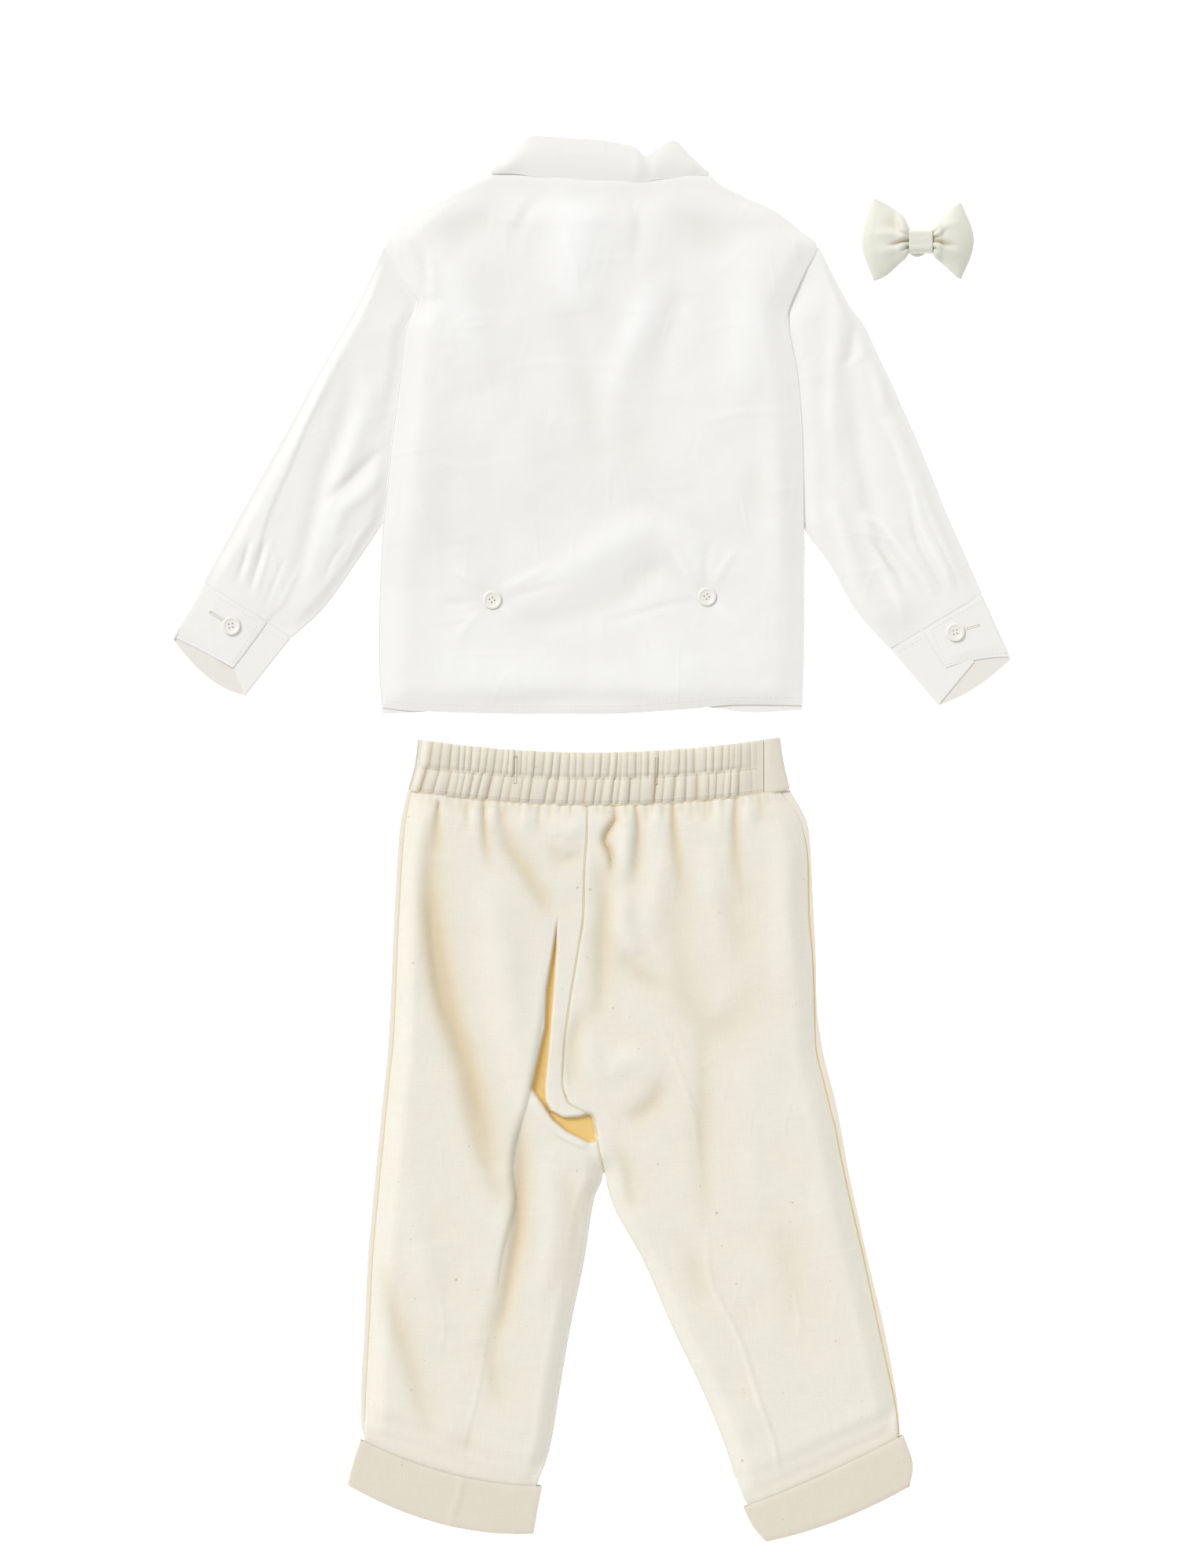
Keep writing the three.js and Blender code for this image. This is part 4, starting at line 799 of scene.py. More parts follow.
# Soft folds of the sleeves, then their pleats and creases: half width, height, and path by pixel
SLEEVE_FOLDS = table("width rise path", [
    (6, 1.2, photo(474, 500, 452, 560, 420, 650, 392, 740)),
    (6, -1.2, photo(452, 470, 436, 540, 410, 610, 392, 690, 372, 760)),
    (3.5, -1.4, photo(484, 574, 462, 596, 440, 616, 418, 636)),
    (5, 1.6, photo(488, 600, 462, 628, 436, 652, 420, 700)),
    (4, 1, photo(440, 400, 420, 470, 396, 530)),
    (5, -0.9, photo(512, 420, 500, 500, 482, 560)),
    (5, 1, photo(1068, 360, 1064, 430, 1060, 520, 1066, 620)),
    (6, -1.2, photo(1084, 480, 1094, 580, 1118, 680, 1150, 760)),
    (4, 1.2, photo(1100, 660, 1122, 712, 1146, 764, 1160, 790)),
    (4, -1.2, photo(1090, 395, 1086, 436, 1078, 468)),
    (4, 1, photo(1110, 420, 1120, 480, 1126, 530)),
    (5, -1, photo(1180, 600, 1204, 670, 1228, 740)),
    (5, 1.2, photo(1060, 640, 1080, 700, 1100, 750)),
])
SLEEVE_CREASES = table("width rise path", [
    (1.8, -1, photo(318, 690, 312, 712, 303, 740)),
    (1.5, 0.5, photo(324, 690, 318, 718, 310, 744)),
    (1.8, -1, photo(338, 690, 328, 722, 319, 752)),
    (1.5, 0.5, photo(346, 690, 336, 724, 326, 758)),
    (1.6, -0.5, photo(362, 712, 350, 742, 338, 772)),
    (1.6, 0.4, photo(384, 720, 368, 750, 352, 784)),
    (1.6, 0.5, photo(452, 700, 428, 732, 408, 760)),
    (1.5, -0.5, photo(440, 690, 424, 712, 414, 736)),
    (1.5, 0.4, photo(1076, 470, 1100, 452)),
    (1.5, -0.5, photo(500, 318, 520, 346, 530, 372)),
    (1.9, -1.7, photo(1108, 686, 1120, 700, 1136, 722, 1150, 740)),
    (2.2, 1.2, photo(1100, 658, 1125, 672, 1156, 710, 1188, 752)),
    (1.5, -0.9, photo(1130, 690, 1150, 716, 1168, 738, 1180, 754)),
    (1.5, 1.2, photo(1162, 620, 1172, 664, 1190, 704, 1213, 750)),
    (1.5, -0.9, photo(1158, 650, 1168, 690, 1184, 722, 1202, 752)),
    (1.5, -0.7, photo(1176, 650, 1194, 690, 1210, 722, 1222, 748)),
    (1.6, -0.5, photo(1222, 700, 1232, 724, 1240, 748)),
    (1.5, 0.4, photo(1130, 740, 1142, 764, 1150, 790)),
])
# Pressed edges by pixel: how far the cloth rises behind each and how far that reaches
SLEEVE_STEPS = table("reach rise path", [
    (12, 0.9, photo(326, 722, 333, 688, 342, 658, 354, 629, 371, 591, 392, 540, 410, 500, 431, 441)),
    (10, 0.8, photo(488, 645, 456, 682, 437, 722, 413, 760, 378, 803)),
    (10, 0.9, photo(1118, 532, 1137, 562, 1153, 607, 1172, 655, 1193, 704, 1212, 755)),
])

# Each cuff: its seam on the sleeve and its three hems, of the layer below, the overlap above and the
# underlap, as x y at the outer end and x y at the inner one; how far each hem sags; and as shares across,
# where the overlap ends at the seam and at the hem, and where the underlap ends
CUFFS = [
    {
        "name": "cuff_left",
        "seam": (-247.2, 162.2, -190.8, 126.6),
        "hemBelow": (-267, 127.2, -220, 90.5),
        "hemAbove": (-267, 128, -220, 103),
        "hemUnder": (-257.5, 176, -220.5, 91),
        "sag": {"Below": 7.5, "Above": -1, "Under": 0},
        "overlapEnd": (0.72, 0.83),
        "underlapEnd": 0.64,
        "outerFirst": True,
        "hole": photo(268, 779, 292, 794),
    },
    {
        "name": "cuff_right",
        "seam": (249.2, 154.4, 190.2, 119.2),
        "hemBelow": (267.5, 114, 220.5, 84),
        "hemAbove": (267.5, 115, 214, 103.5),
        "hemUnder": (270.5, 144, 221, 84.5),
        "sag": {"Below": 4, "Above": -3, "Under": 0},
        "overlapEnd": (0.65, 0.79),
        "underlapEnd": 0.54,
        "outerFirst": False,
        "hole": photo(1220, 804, 1246, 796),
    },
]


def shirt_lift(x, y, soft=0):
    """How far the sleeves and the collar's front leaf, lying below, lift the body."""
    beside = ease(186 - soft, 198, y) * (1 - ease(341, 352 + soft, y))
    left = ease(sleeve_inner_left(y) + 17 + soft, sleeve_inner_left(y) + 7, x)
    right = ease(sleeve_inner_right(y) - 17 - soft, sleeve_inner_right(y) - 7, x)
    from_middle = np.abs(x - NECK_MIDDLE)
    leaf_edge = front_leaf(np.maximum(from_middle, COLLAR_FRONT[1]["fromMiddle"]))
    leaf = ease(leaf_edge - 17 - soft, leaf_edge - 7, y) * ease(82 + soft / 4, 73, from_middle)
    return np.maximum(SLEEVE_PRESSED * beside * np.maximum(left, right), COLLAR_LEAF_LIFT * leaf)


def placket_lift(x, soft=0):
    """How far the lap of the two fronts lifts the back, with a softer edge if asked."""
    left = ease(-PLACKET_HALF_LAP - 6 - soft, -PLACKET_HALF_LAP - 1, x)
    return PLACKET_LIFT * left * ease(PLACKET_HALF_LAP + 8 + soft, PLACKET_HALF_LAP + 2, x)


def shirt_free(x, y):
    """Where the back is free to rise: away from its edges."""
    across = np.minimum(x - shirt_left(y), shirt_right(y) - x)
    return ease(0, 18, across) * ease(80, 96, y) * ease(415, 390, y)


def shirt_relief(x, y):
    """The soft folds and creases of the back, pulled down at its buttons."""
    height = fold_height(SHIRT_FOLDS, x, y) + fold_height(SHIRT_CREASES, x, y)
    height += uneven(x, y, 30, 0.5) + uneven(x, y, 12, 0.16)
    for button in BACK_BUTTONS:
        away = np.hypot(x - button["x"], y - button["y"]) / BUTTON_PULL["width"]
        height -= BUTTON_PULL["depth"] * np.exp(-(away**2))
    return height


def shirt_back_under(x, y):
    """Height of the back's lower face above the surface."""
    free = shirt_free(x, y)
    flat = placket_lift(x, 30)
    puff = free * np.maximum(BACK_PUFF + shirt_relief(x, y), LEAST_BACK_PUFF)
    rise = np.log((np.exp(2 * puff) + np.exp(2 * flat)) / 2) / 2
    neck = 1.5 * GAP * ease(385, 400, y)
    hem = HEM_STEP * ease(HEM_DEPTH + 0.5, HEM_DEPTH - 0.2, y - back_hem(x))
    edge = np.minimum(np.minimum(x - shirt_left(y), shirt_right(y) - x), y - back_hem(x))
    base = mix(SHIRT_SHELL + EDGE_GAP, SHIRT_BACK_BASE, ease(0, 8, edge))
    return base + shirt_lift(x, y, 46) + rise + neck + hem


def valley(height, scale):
    """A share of painted shade from a trough's depth."""
    return np.clip(-height / scale, 0, 1)


def body_place(left_edge, right_edge, neck, hem):
    """A body panel between two edges, its top row on the neck seam and its last on the hem."""
    top = SHIRT_OUTLINE[0]["y"]
    bottom = SHIRT_OUTLINE[-1]["y"]

    def place(y, across):
        x = mix(left_edge(y), right_edge(y), across)
        to_neck = (neck(x) - GAP - top) * ease(bottom + 250, top, y) ** 3
        to_hem = (hem(x) - bottom) * ease(bottom + 40, bottom, y)
        return x, y + to_neck + to_hem

    return place


def front_neck(x):
    """The fronts' upper edge."""
    return front_seam(np.abs(x - NECK_MIDDLE)) - 3 * GAP


def body_rows(spacing):
    """Rows of a body panel from the neck to the hem, one on each line of the outline."""
    ys = [row["y"] for row in SHIRT_OUTLINE]
    found = [np.linspace(a, b, max(1, round((a - b) / spacing)), endpoint=False) for a, b in zip(ys, ys[1:])]
    return np.append(np.concatenate(found), ys[-1])


def painted_back_shade(x, y):
    """Painted shade in the back's broad hollows, small creases and listed soft spots, painted highlight on its
    ridges and the lighter spots.
    """
    relief = shirt_relief(x, y)
    tone = 0.2 * hollow(relief, 16, 1.8) + 0.16 * hollow(relief, 3, 0.7)
    for row in SHIRT_SHADES:
        middle = row["middle"][0]
        away = np.hypot(x - middle[0], y - middle[1]) / row["reach"]
        tone += row["shade"] * np.exp(-(away**2))
    return SHIRT_SHADE_BASE + mix(0.3, 1, shirt_free(x, y)) * tone


def left_lap(y):
    """Where the left front ends, past the middle."""
    return PLACKET_HALF_LAP + 0 * y


def right_lap(y):
    """Where the right front starts, before the middle."""
    return -PLACKET_HALF_LAP + 0 * y


def left_front_lift(x, y):
    """The left front lies on the right one where they lap."""
    return shirt_lift(x, y) + placket_lift(x)


def make_shirt_body():
    """The back over the two lapped fronts, with the rolls that close its sides."""
    place = body_place(shirt_left, shirt_right, back_seam, back_hem)
    across = np.linspace(0, 1, 130)
    panel("shirt_back", body_rows(2.2), across, place, shirt_back_under, SHIRT_SHELL, SHIRT, depth=painted_back_shade)
    across = np.linspace(0, 1, 56)
    for name, left, right, lift in (
        ("shirt_front_left", shirt_left, left_lap, left_front_lift),
        ("shirt_front_right", right_lap, shirt_right, shirt_lift),
    ):
        place = body_place(left, right, front_neck, front_hem)
        panel(name, body_rows(5), across, place, lift, SHIRT_SHELL, SHIRT)
    for name, edge, side in (("side_roll_left", shirt_left, -1), ("side_roll_right", shirt_right, 1)):
        y = np.linspace(331, 84, 100)
        x = edge(y)
        low = shirt_lift(x, y) + 2 * EDGE_GAP
        high = shirt_back_under(x, y) + SHIRT_SHELL
        grid = edge_roll(np.stack([x, y], -1), low, high, EDGE_ROLL_WALL, side)
        node = "shirt_front_left" if side < 0 else "shirt_front_right"
        shell(name, grid, EDGE_ROLL_WALL, SHIRT, node)


def sleeve_relief(x, y):
    """Folds, creases, pressed edges and unevenness of both sleeves."""
    folds = fold_height(SLEEVE_FOLDS, x, y) + fold_height(SLEEVE_CREASES, x, y)
    return folds + step_height(SLEEVE_STEPS, x, y) + uneven(x, y, 24, 0.4) + uneven(x, y, 10, 0.14)


def sleeve_height(x, y, down, across):
    """How far a sleeve's top stands up: free in its middle, low beside the body, met by its cuff."""
    free = ease(0, 0.12, down) * ease(0, 0.12, across) * ease(1, 0.88, across)
    edge = np.where(x < 0, shirt_left(y) - x, x - shirt_right(y))
    beside = ease(185, 198, y)
    clear = (1 - ease(0.8, -1.6, edge) * beside) * (1 - 0.45 * ease(9, 0, edge) * beside)
    puff = np.maximum(SLEEVE_PUFF + sleeve_relief(x, y), LEAST_SLEEVE_PUFF)
    left, right = CUFFS
    to_cuff = np.where(x < 0, cuff_top(left, across), cuff_top(right, 1 - across)) - SLEEVE_FLAT
    return free * clear * mix(puff, to_cuff + 0.3 * (puff - SLEEVE_PUFF), ease(0.9, 1, down))


def painted_sleeve_shade(x, y):
    """Painted shade in the sleeves' hollows, painted highlight on their ridges."""
    return SHIRT_SHADE_BASE + 0.25 * hollow(sleeve_relief(x, y), 8, 1.4)


def make_sleeves():
    """Both sleeves as pressed tubes."""
    down = np.linspace(0, 1, 130)
    for name, rows, look in (
        ("sleeve_left", SLEEVE_LEFT, SHIRT_LEFT),
        ("sleeve_right", SLEEVE_RIGHT, SHIRT_RIGHT),
    ):
        place = section_lines(rows)
        pressed_tube(name, down, place, SHIRT_SHELL, GAP, sleeve_height, look, depth=painted_sleeve_shade)


def cuff_place(cuff, hem, across, down):
    """A place on one of a cuff's layers, from its seam down to that layer's hem."""
    line = cuff["hem" + hem]
    seam = cuff["seam"]
    curved = cuff["sag"][hem] * 4 * across * (1 - across)
    x = mix(mix(seam[0], seam[2], across), mix(line[0], line[2], across), down)
    y = mix(mix(seam[1], seam[3], across), mix(line[1], line[3], across) - curved, down)
    return x, y


def cuff_top(cuff, share):
    """Height of a cuff's upper face along its seam: the overlap's, and past its end the underlap's."""
    end = cuff["overlapEnd"][0]
    over = CUFF_ABOVE + CUFF_SWELL * np.sin(np.pi * np.clip(share / end, 0, 1))
    return CUFF_SHELL + mix(over, CUFF_UNDER, ease(end - 0.02, end + 0.02, share))


def make_cuff(cuff):
    """One band wrapped round: overlap on top, round the outer fold, below, and back as the underlap."""
    down = np.linspace(0, 1, 44)
    columns = []
    tones = []

    def run(hem, start, end, height, count, tone):
        for t in np.linspace(0, 1, count):
            share = mix(mix(*start, down), mix(*end, down), t)
            x, y = cuff_place(cuff, hem, share, down)
            z = np.full(down.shape, height)
            if hem == "Above":
                swell = CUFF_SWELL * (1 - down)
                z += swell * np.sin(np.pi * np.clip(share / mix(*cuff["overlapEnd"], down), 0, 1))
                z -= CUFF_DIP * np.exp(-(((share - 0.4) / 0.12) ** 2)) * np.sin(np.pi * down)
                z -= CUFF_DROOP * ease(0.75, 1, down) * ease(0.75, 0.5, share)
                z -= OVERLAP_DROP * ease(0.55, 0, t)
            columns.append(np.stack([x, y, z], -1))
            # A painted shade line along the overlap's end
            edge = OVERLAP_EDGE_SHADE * ease(0.04, 0, t) if hem == "Above" else 0
            tones.append(np.full(down.shape, tone + edge))

    def bend(share, out, z_start, z_end):
        for angle in np.linspace(0, np.pi, 7)[1:-1]:
            x, y = cuff_place(cuff, "Below", share + out * np.sin(angle), down)
            z = np.full(down.shape, mix(z_start, z_end, (1 - np.cos(angle)) / 2))
            columns.append(np.stack([x, y, z], -1))
            tones.append(np.full(down.shape, SHIRT_SHADE_BASE))

    outer, inner = (0.035, 0.035), (0.965, 0.965)
    underlap_end = (cuff["underlapEnd"], cuff["underlapEnd"])
    # Painted shade: the lower layer and the underlap take deeper tones than the overlap
    run("Above", cuff["overlapEnd"], outer, CUFF_ABOVE, 34, SHIRT_SHADE_BASE)
    bend(0.03, -0.015, CUFF_ABOVE, CUFF_BELOW)
    run("Below", outer, inner, CUFF_BELOW, 40, CUFF_INSIDE_SHADE)
    bend(0.97, 0.015, CUFF_BELOW, CUFF_UNDER)
    run("Under", inner, underlap_end, CUFF_UNDER, 24, SHIRT_SHADE_BASE + 0.05)
    grid = np.stack(columns, 1)
    tone = np.stack(tones, 1)
    if cuff["outerFirst"]:
        grid, tone = grid[:, ::-1], tone[:, ::-1]
    look = SHIRT_LEFT if cuff["outerFirst"] else SHIRT_RIGHT
    shell(cuff["name"], grid, CUFF_SHELL, look, depth=tone, rim=(0.9, 0.9, 0.8))


def collar_section(row, puff):
    """From the neck seam up the stand, over the fold and down the leaf: distance out and place up."""
    stand_top = row["fold"] - COLLAR_FOLD_RADIUS
    up = np.linspace(row["seam"], stand_top, 14)
    angle = np.linspace(0, np.pi, 9)[1:-1]
    out = [np.zeros(up.shape), COLLAR_LEAF_LIFT * (1 - np.cos(angle)) / 2]
    height = [up, stand_top + (COLLAR_FOLD_RADIUS - COLLAR_SHELL) * np.sin(angle)]
    down = np.linspace(0, 1, 20)
    out.append(COLLAR_LEAF_LIFT + puff * np.sin(np.pi * down))
    height.append(mix(stand_top, row["leaf"], down))
    return np.concatenate(out), np.concatenate(height)


def make_collar():
    """One folded band swept round the flattened neck: the stand inside and the leaf outside."""
    inner = 2 * COLLAR_SHELL + GAP
    back = inner + GAP
    tips = {-1: COLLAR_BACK[0], 1: COLLAR_BACK[-1]}
    read = {name: curve(COLLAR_BACK, "x", name) for name in ("fold", "leaf", "seam")}
    front = {name: curve(COLLAR_FRONT, "fromMiddle", name) for name in ("fold", "leaf", "seam")}
    stations = []

    def station(x, z, out, row, puff):
        n, y = collar_section(row, puff)
        stations.append(np.stack([x + out[0] * n, y, z + out[1] * n], -1))

    def front_half(side):
        reach = abs(tips[side]["x"] - NECK_MIDDLE)
        shares = np.linspace(0, 1, 36)[:-1]
        for from_middle in mix(1, reach, shares if side < 0 else shares[::-1]):
            row = {name: float(front[name](from_middle)) for name in front}
            station(NECK_MIDDLE + side * from_middle, inner, (0, -1), row, 0)

    def turn(side):
        shares = np.linspace(0, 1, 9)
        for share in shares if side < 0 else shares[::-1]:
            angle = np.pi * share - np.pi / 2
            out = (side * np.cos(angle), np.sin(angle))
            middle = (inner + back) / 2 + out[1] * GAP / 2
            station(tips[side]["x"] + out[0] * GAP / 2, middle, out, tips[side], 0)

    front_half(-1)
    turn(-1)
    for x in np.linspace(-61, 72, 90):
        row = {name: float(read[name](x)) for name in read}
        rise = 0.6 * ease(60, 30, abs(x - NECK_MIDDLE))
        creased = 0.5 * np.exp(-(((x - 29) / 3) ** 2)) - 0.6 * np.exp(-(((x - 37) / 3.5) ** 2))
        from_tip = min(x - tips[-1]["x"], tips[1]["x"] - x)
        puff = COLLAR_PUFF * ease(0, 12, from_tip) + creased
        station(x, back + rise, (0, 1), row, puff)
    turn(1)
    front_half(1)
    grid = np.stack(stations, 1)
    # Painted shade: the front part, tucked under the back, takes the gap shade colour and the rest a little
    # more painted shade than the back
    front_part = (grid[:1, :, 2] < back - 0.2) * 1.0
    shell("collar", grid[::-1], COLLAR_SHELL, SHIRT, depth=mix(SHIRT_SHADE_BASE + 0.12, 1, front_part))


# Trousers

WAIST = table("leftX leftY rightX rightY sag", [
    (-110.5, 62.5, 120, 64, 9),
    (-112.5, 46.5, 122.5, 48, 8.5),
    (-117, 30, 126.5, 30.5, 9.7),
])
BACK_LEFT = table("leftX leftY rightX rightY fold flap open sag", [
    (-114.5, 29, -3, 20, -23.5, -18.5, 0, 0),
    (-118.5, 5.5, -3.5, -2, -22.5, -17, 0, 0),
    (-120.5, -19.5, -5, -23, -22, -17, 0, 0),
    (-122, -47, -5.5, -47, -24, -18.5, 0, 0),
    (-123.5, -78, -10, -78, -27.5, -22.5, 0, 0),
    (-124.5, -105.5, -14.5, -105.5, -30.5, -25, 0, 0),
    (-126, -133.5, -18, -133.5, -34.5, -27, 0, 0),
    (-128.5, -155.5, -19, -155.5, -38.5, -26, 0, 0),
    (-129.5, -167, -15.5, -168, -41, -26.5, 0, 0),
    (-130.5, -176, -1.5, -176.5, -43.5, -27.5, 0, 0),
    (-131, -183, 1.8, -183, -45.5, -24, 0, 0),
    (-132.5, -198, 4.5, -199, -49.5, -15, 0, 0),
    (-134, -213.5, 7.3, -213.5, -51, -12, 1, 0),
    (-135.5, -229.5, 1.5, -229.5, -49, -16, 1, 0),
    (-139, -269.5, -5, -269.5, -58, -28, 1, 0),
    (-141, -312, -14, -313, -64.5, -36, 1, 0),
    (-143, -347, -21, -354.5, -71.5, -43, 1, 1),
    (-144, -372, -26, -385, -77, -49, 1, 4),
    (-144.5, -382, -31, -402, -80, -52, 1, 6),
    (-146.5, -389, -34.8, -412, -82, -54, 1, 7),
    (-150.2, -403, -39.5, -434.5, -85.5, -58, 1, 8),
])
BACK_RIGHT = table("leftX leftY rightX rightY open sag", [
    (-2, 19.5, 120, 27, 0, 0),
    (-2.5, -2, 133.5, 5, 0, 0),
    (-4, -23, 137.5, -17, 0, 0),
    (-4.5, -47, 138, -47, 0, 0),
    (-9, -78, 140.5, -78, 0, 0),
    (-13.5, -105.5, 141.5, -105.5, 0, 0),
    (-17, -133.5, 142.5, -133.5, 0, 0),
    (-18, -155.5, 147.5, -155.5, 0, 0),
    (-14, -168, 150.5, -168, 0, 0),
    (-0.5, -176, 152.5, -176, 0, 0),
    (2.5, -183, 154.5, -183, 0, 0),
    (5.5, -199, 157.5, -199, 0, 0),
    (8.5, -213.5, 160.5, -213.5, 1, 0),
    (12.5, -229.5, 164, -229.5, 1, 0),
    (33.5, -269.5, 173, -268.5, 1, 0),
    (52.5, -313, 182, -310, 1, 0),
    (70, -349.5, 189, -342, 1, 0),
    (84.5, -384.5, 194, -367, 1, 0),
    (96.5, -419.5, 195, -380, 1, 1),
    (111.5, -440, 199, -406, 1, 2),
])
FRONT_LEFT = table("leftX leftY rightX rightY sag", [
    (-117, 29.5, -0.3, 20, 0),
    (-122, 5.5, -0.3, -2, 0),
    (-125.5, -47, -0.3, -47, 0),
    (-129.5, -133.5, -0.3, -133.5, 0),
    (-133, -167, -0.3, -168, 0),
    (-134.5, -183, 1.8, -183, 0),
    (-137.5, -213.5, 7.3, -213.5, 0),
    (-139, -229.5, 1.5, -229.5, 0),
    (-142.5, -269.5, -5, -269.5, 0),
    (-144.5, -312, -14, -313, 0),
    (-146.5, -347, -21, -354.5, 1),
    (-147, -372, -26, -385, 4),
    (-144.5, -382, -31, -402, 6),
    (-146.5, -389, -34.8, -412, 7),
    (-150.2, -403, -39.5, -434.5, 8),
])
FRONT_RIGHT = table("leftX leftY rightX rightY sag", [
    (0.3, 19.5, 126.5, 29.5, 0),
    (0.3, -2, 138.5, 3, 0),
    (0.3, -47, 141.5, -47, 0),
    (0.3, -78, 143, -78, 0),
    (0.3, -105.5, 143.5, -105.5, 0),
    (0.3, -133.5, 147, -133.5, 0),
    (0.5, -168, 155.5, -168, 0),
    (2.5, -183, 158.5, -183, 0),
    (8.5, -213.5, 164, -213.5, 0),
    (12.5, -229.5, 167.5, -229.5, 0),
    (33.5, -269.5, 176, -268.5, 0),
    (52.5, -313, 186, -310, 0),
    (70, -349.5, 192, -342, 0),
    (84.5, -384.5, 195.5, -367, 0),
    (96.5, -419.5, 195.5, -380, 1),
    (111.5, -440, 199, -406, 2),
])
TURN_UP_LEFT = table("leftX leftY rightX rightY sag", [
    (-147, -382.5, -31.5, -412, 7),
    (-151.5, -397, -34.5, -427, 8),
    (-155, -411, -37, -442, 9),
])
TURN_UP_RIGHT = table("leftX leftY rightX rightY sag", [
    (96.5, -425.5, 198, -379.5, 2),
    (103, -438, 204, -399.5, 3),
    (111, -447, 202, -412, 4),
])
# The deep gap beside the centre seam, where the cloth folds in, as seen from above
GAP_OUTLINE = np.array([
    (-20.5, -50), (-20.5, -70), (-22.5, -96), (-25.5, -133), (-28, -158), (-27.5, -167), (-24.5, -172.5),
    (-17, -176.5), (-8, -175.8), (0.5, -173.5), (3, -178), (4.5, -188), (4, -194), (-1.5, -195.5),
    (-16.5, -188), (-25.5, -180.5), (-34.5, -167), (-40, -159.5), (-35.5, -139), (-31, -120),
    (-30, -96), (-27, -78), (-23.5, -56),
])
# Soft folds of the trousers' backs, then the pressed creases: half width, height, and path by pixel
TROUSER_FOLDS = table("width rise path", [
    (7, -3.2, photo(553, 1060, 550, 1132, 558, 1202, 574, 1287, 597, 1358, 616, 1420, 634, 1480)),
    (3.5, -1, photo(546, 1150, 552, 1230, 566, 1300)),
    (12, 2.4, photo(628, 1120, 640, 1220, 650, 1300, 662, 1370)),
    (8, 1.2, photo(522, 1080, 514, 1200, 518, 1330)),
    (5, -2, photo(640, 1040, 650, 1075, 672, 1110, 690, 1140, 705, 1162)),
    (4, -1.2, photo(700, 1080, 720, 1094, 744, 1086)),
    (5, 1.2, photo(700, 1046, 722, 1060, 740, 1050)),
    (2.4, -4, photo(782, 1022, 784, 1042, 775, 1058, 771, 1070, 778, 1088, 781, 1108)),
    (4.5, 2.2, photo(796, 1028, 798, 1056, 797, 1090, 796, 1112)),
    (6, -1.9, photo(766, 1100, 771, 1150, 768, 1200, 767, 1245, 762, 1296)),
    (6, 2, photo(792, 1130, 797, 1180, 812, 1216)),
    (5, -1.2, photo(790, 1212, 815, 1240, 846, 1262)),
    (9, -1.1, photo(866, 1140, 870, 1210, 880, 1268, 908, 1308, 944, 1290, 964, 1250)),
    (9, -0.8, photo(930, 1130, 944, 1180, 950, 1230)),
    (9, 1.4, photo(838, 1080, 834, 1150, 824, 1200)),
    (8, 1, photo(905, 1070, 910, 1140, 918, 1200)),
    (8, 1, photo(990, 1070, 1000, 1180, 994, 1280)),
    (9, 1.8, photo(776, 1362, 806, 1350, 842, 1370)),
    (6, -1.6, photo(800, 1426, 826, 1410, 850, 1382)),
    (6, -1.2, photo(896, 1320, 898, 1390, 896, 1470, 902, 1540)),
    (5, -1.4, photo(742, 1290, 730, 1330, 732, 1380)),
    (6, 0.9, photo(750, 1320, 760, 1380)),
    (5, -3, photo(664, 1430, 664, 1500, 662, 1560, 652, 1620, 640, 1690)),
    (6, -1.2, photo(636, 1660, 630, 1730, 640, 1790)),
    (7, 1.2, photo(700, 1480, 706, 1560, 690, 1650)),
    (5, -0.9, photo(722, 1500, 736, 1560, 716, 1640)),
    (5, -1.2, photo(592, 1380, 606, 1440, 632, 1506, 648, 1524)),
    (6, -1.6, photo(484, 1610, 504, 1670, 524, 1730, 552, 1826)),
    (9, 1, photo(520, 1500, 540, 1600, 560, 1700)),
    (5, -1, photo(560, 1846, 590, 1850, 600, 1820)),
    (5, -1.2, photo(784, 1456, 800, 1490, 806, 1540)),
    (6, 1, photo(766, 1460, 784, 1520, 812, 1580)),
    (9, 0.9, photo(1040, 1500, 1070, 1640)),
    (9, -0.8, photo(1000, 1560, 1020, 1680)),
    (7, -0.8, photo(880, 1590, 900, 1660)),
    (8, 0.8, photo(950, 1440, 968, 1540)),
])
PRESSED_CREASES = table("width rise path", [
    (1.4, 0.35, photo(620, 1700, 606, 1780, 596, 1816, 590, 1850, 586, 1886)),
    (1.6, 0.8, photo(900, 1570, 906, 1633, 940, 1700, 966, 1780, 986, 1840, 993, 1900)),
    (1.4, 0.8, photo(590, 1874, 585, 1900, 579, 1920, 576, 1940)),
    (1.4, 0.4, photo(992, 1894, 1000, 1912, 1008, 1930)),
])
# Smaller folds
TROUSER_CREASES = table("width rise path", [
    (1.4, 0.6, photo(838, 1296, 856, 1340, 874, 1390, 884, 1420, 892, 1500)),
    (1.2, 0.4, photo(884, 1360, 900, 1356, 908, 1348)),
    (1.3, 0.4, photo(600, 1698, 612, 1704, 624, 1700)),
    (1.3, 0.3, photo(560, 1650, 566, 1690, 560, 1720)),
    (1.3, 0.35, photo(1010, 1640, 1018, 1680, 1014, 1700)),
    (1.5, -0.5, photo(690, 1050, 702, 1056, 716, 1052)),
    (1.5, -0.5, photo(692, 1062, 704, 1068, 716, 1066)),
    (1.4, -0.5, photo(786, 1046, 796, 1056, 802, 1052)),
    (1.5, -0.4, photo(716, 1300, 722, 1346, 730, 1384)),
    (1.3, 0.3, photo(640, 1130, 650, 1136)),
    (1.4, -0.3, photo(960, 1130, 970, 1150, 966, 1172)),
])
# Pressed edges by pixel: the long fold on the left leg and the thigh's edge
TROUSER_STEPS = table("reach rise path", [
    (16, 0.6, photo(650, 1477, 655, 1528, 642, 1575, 630, 1652)[::-1]),
    (10, 1.2, photo(673, 1396, 692, 1427, 716, 1448, 751, 1464)),
])
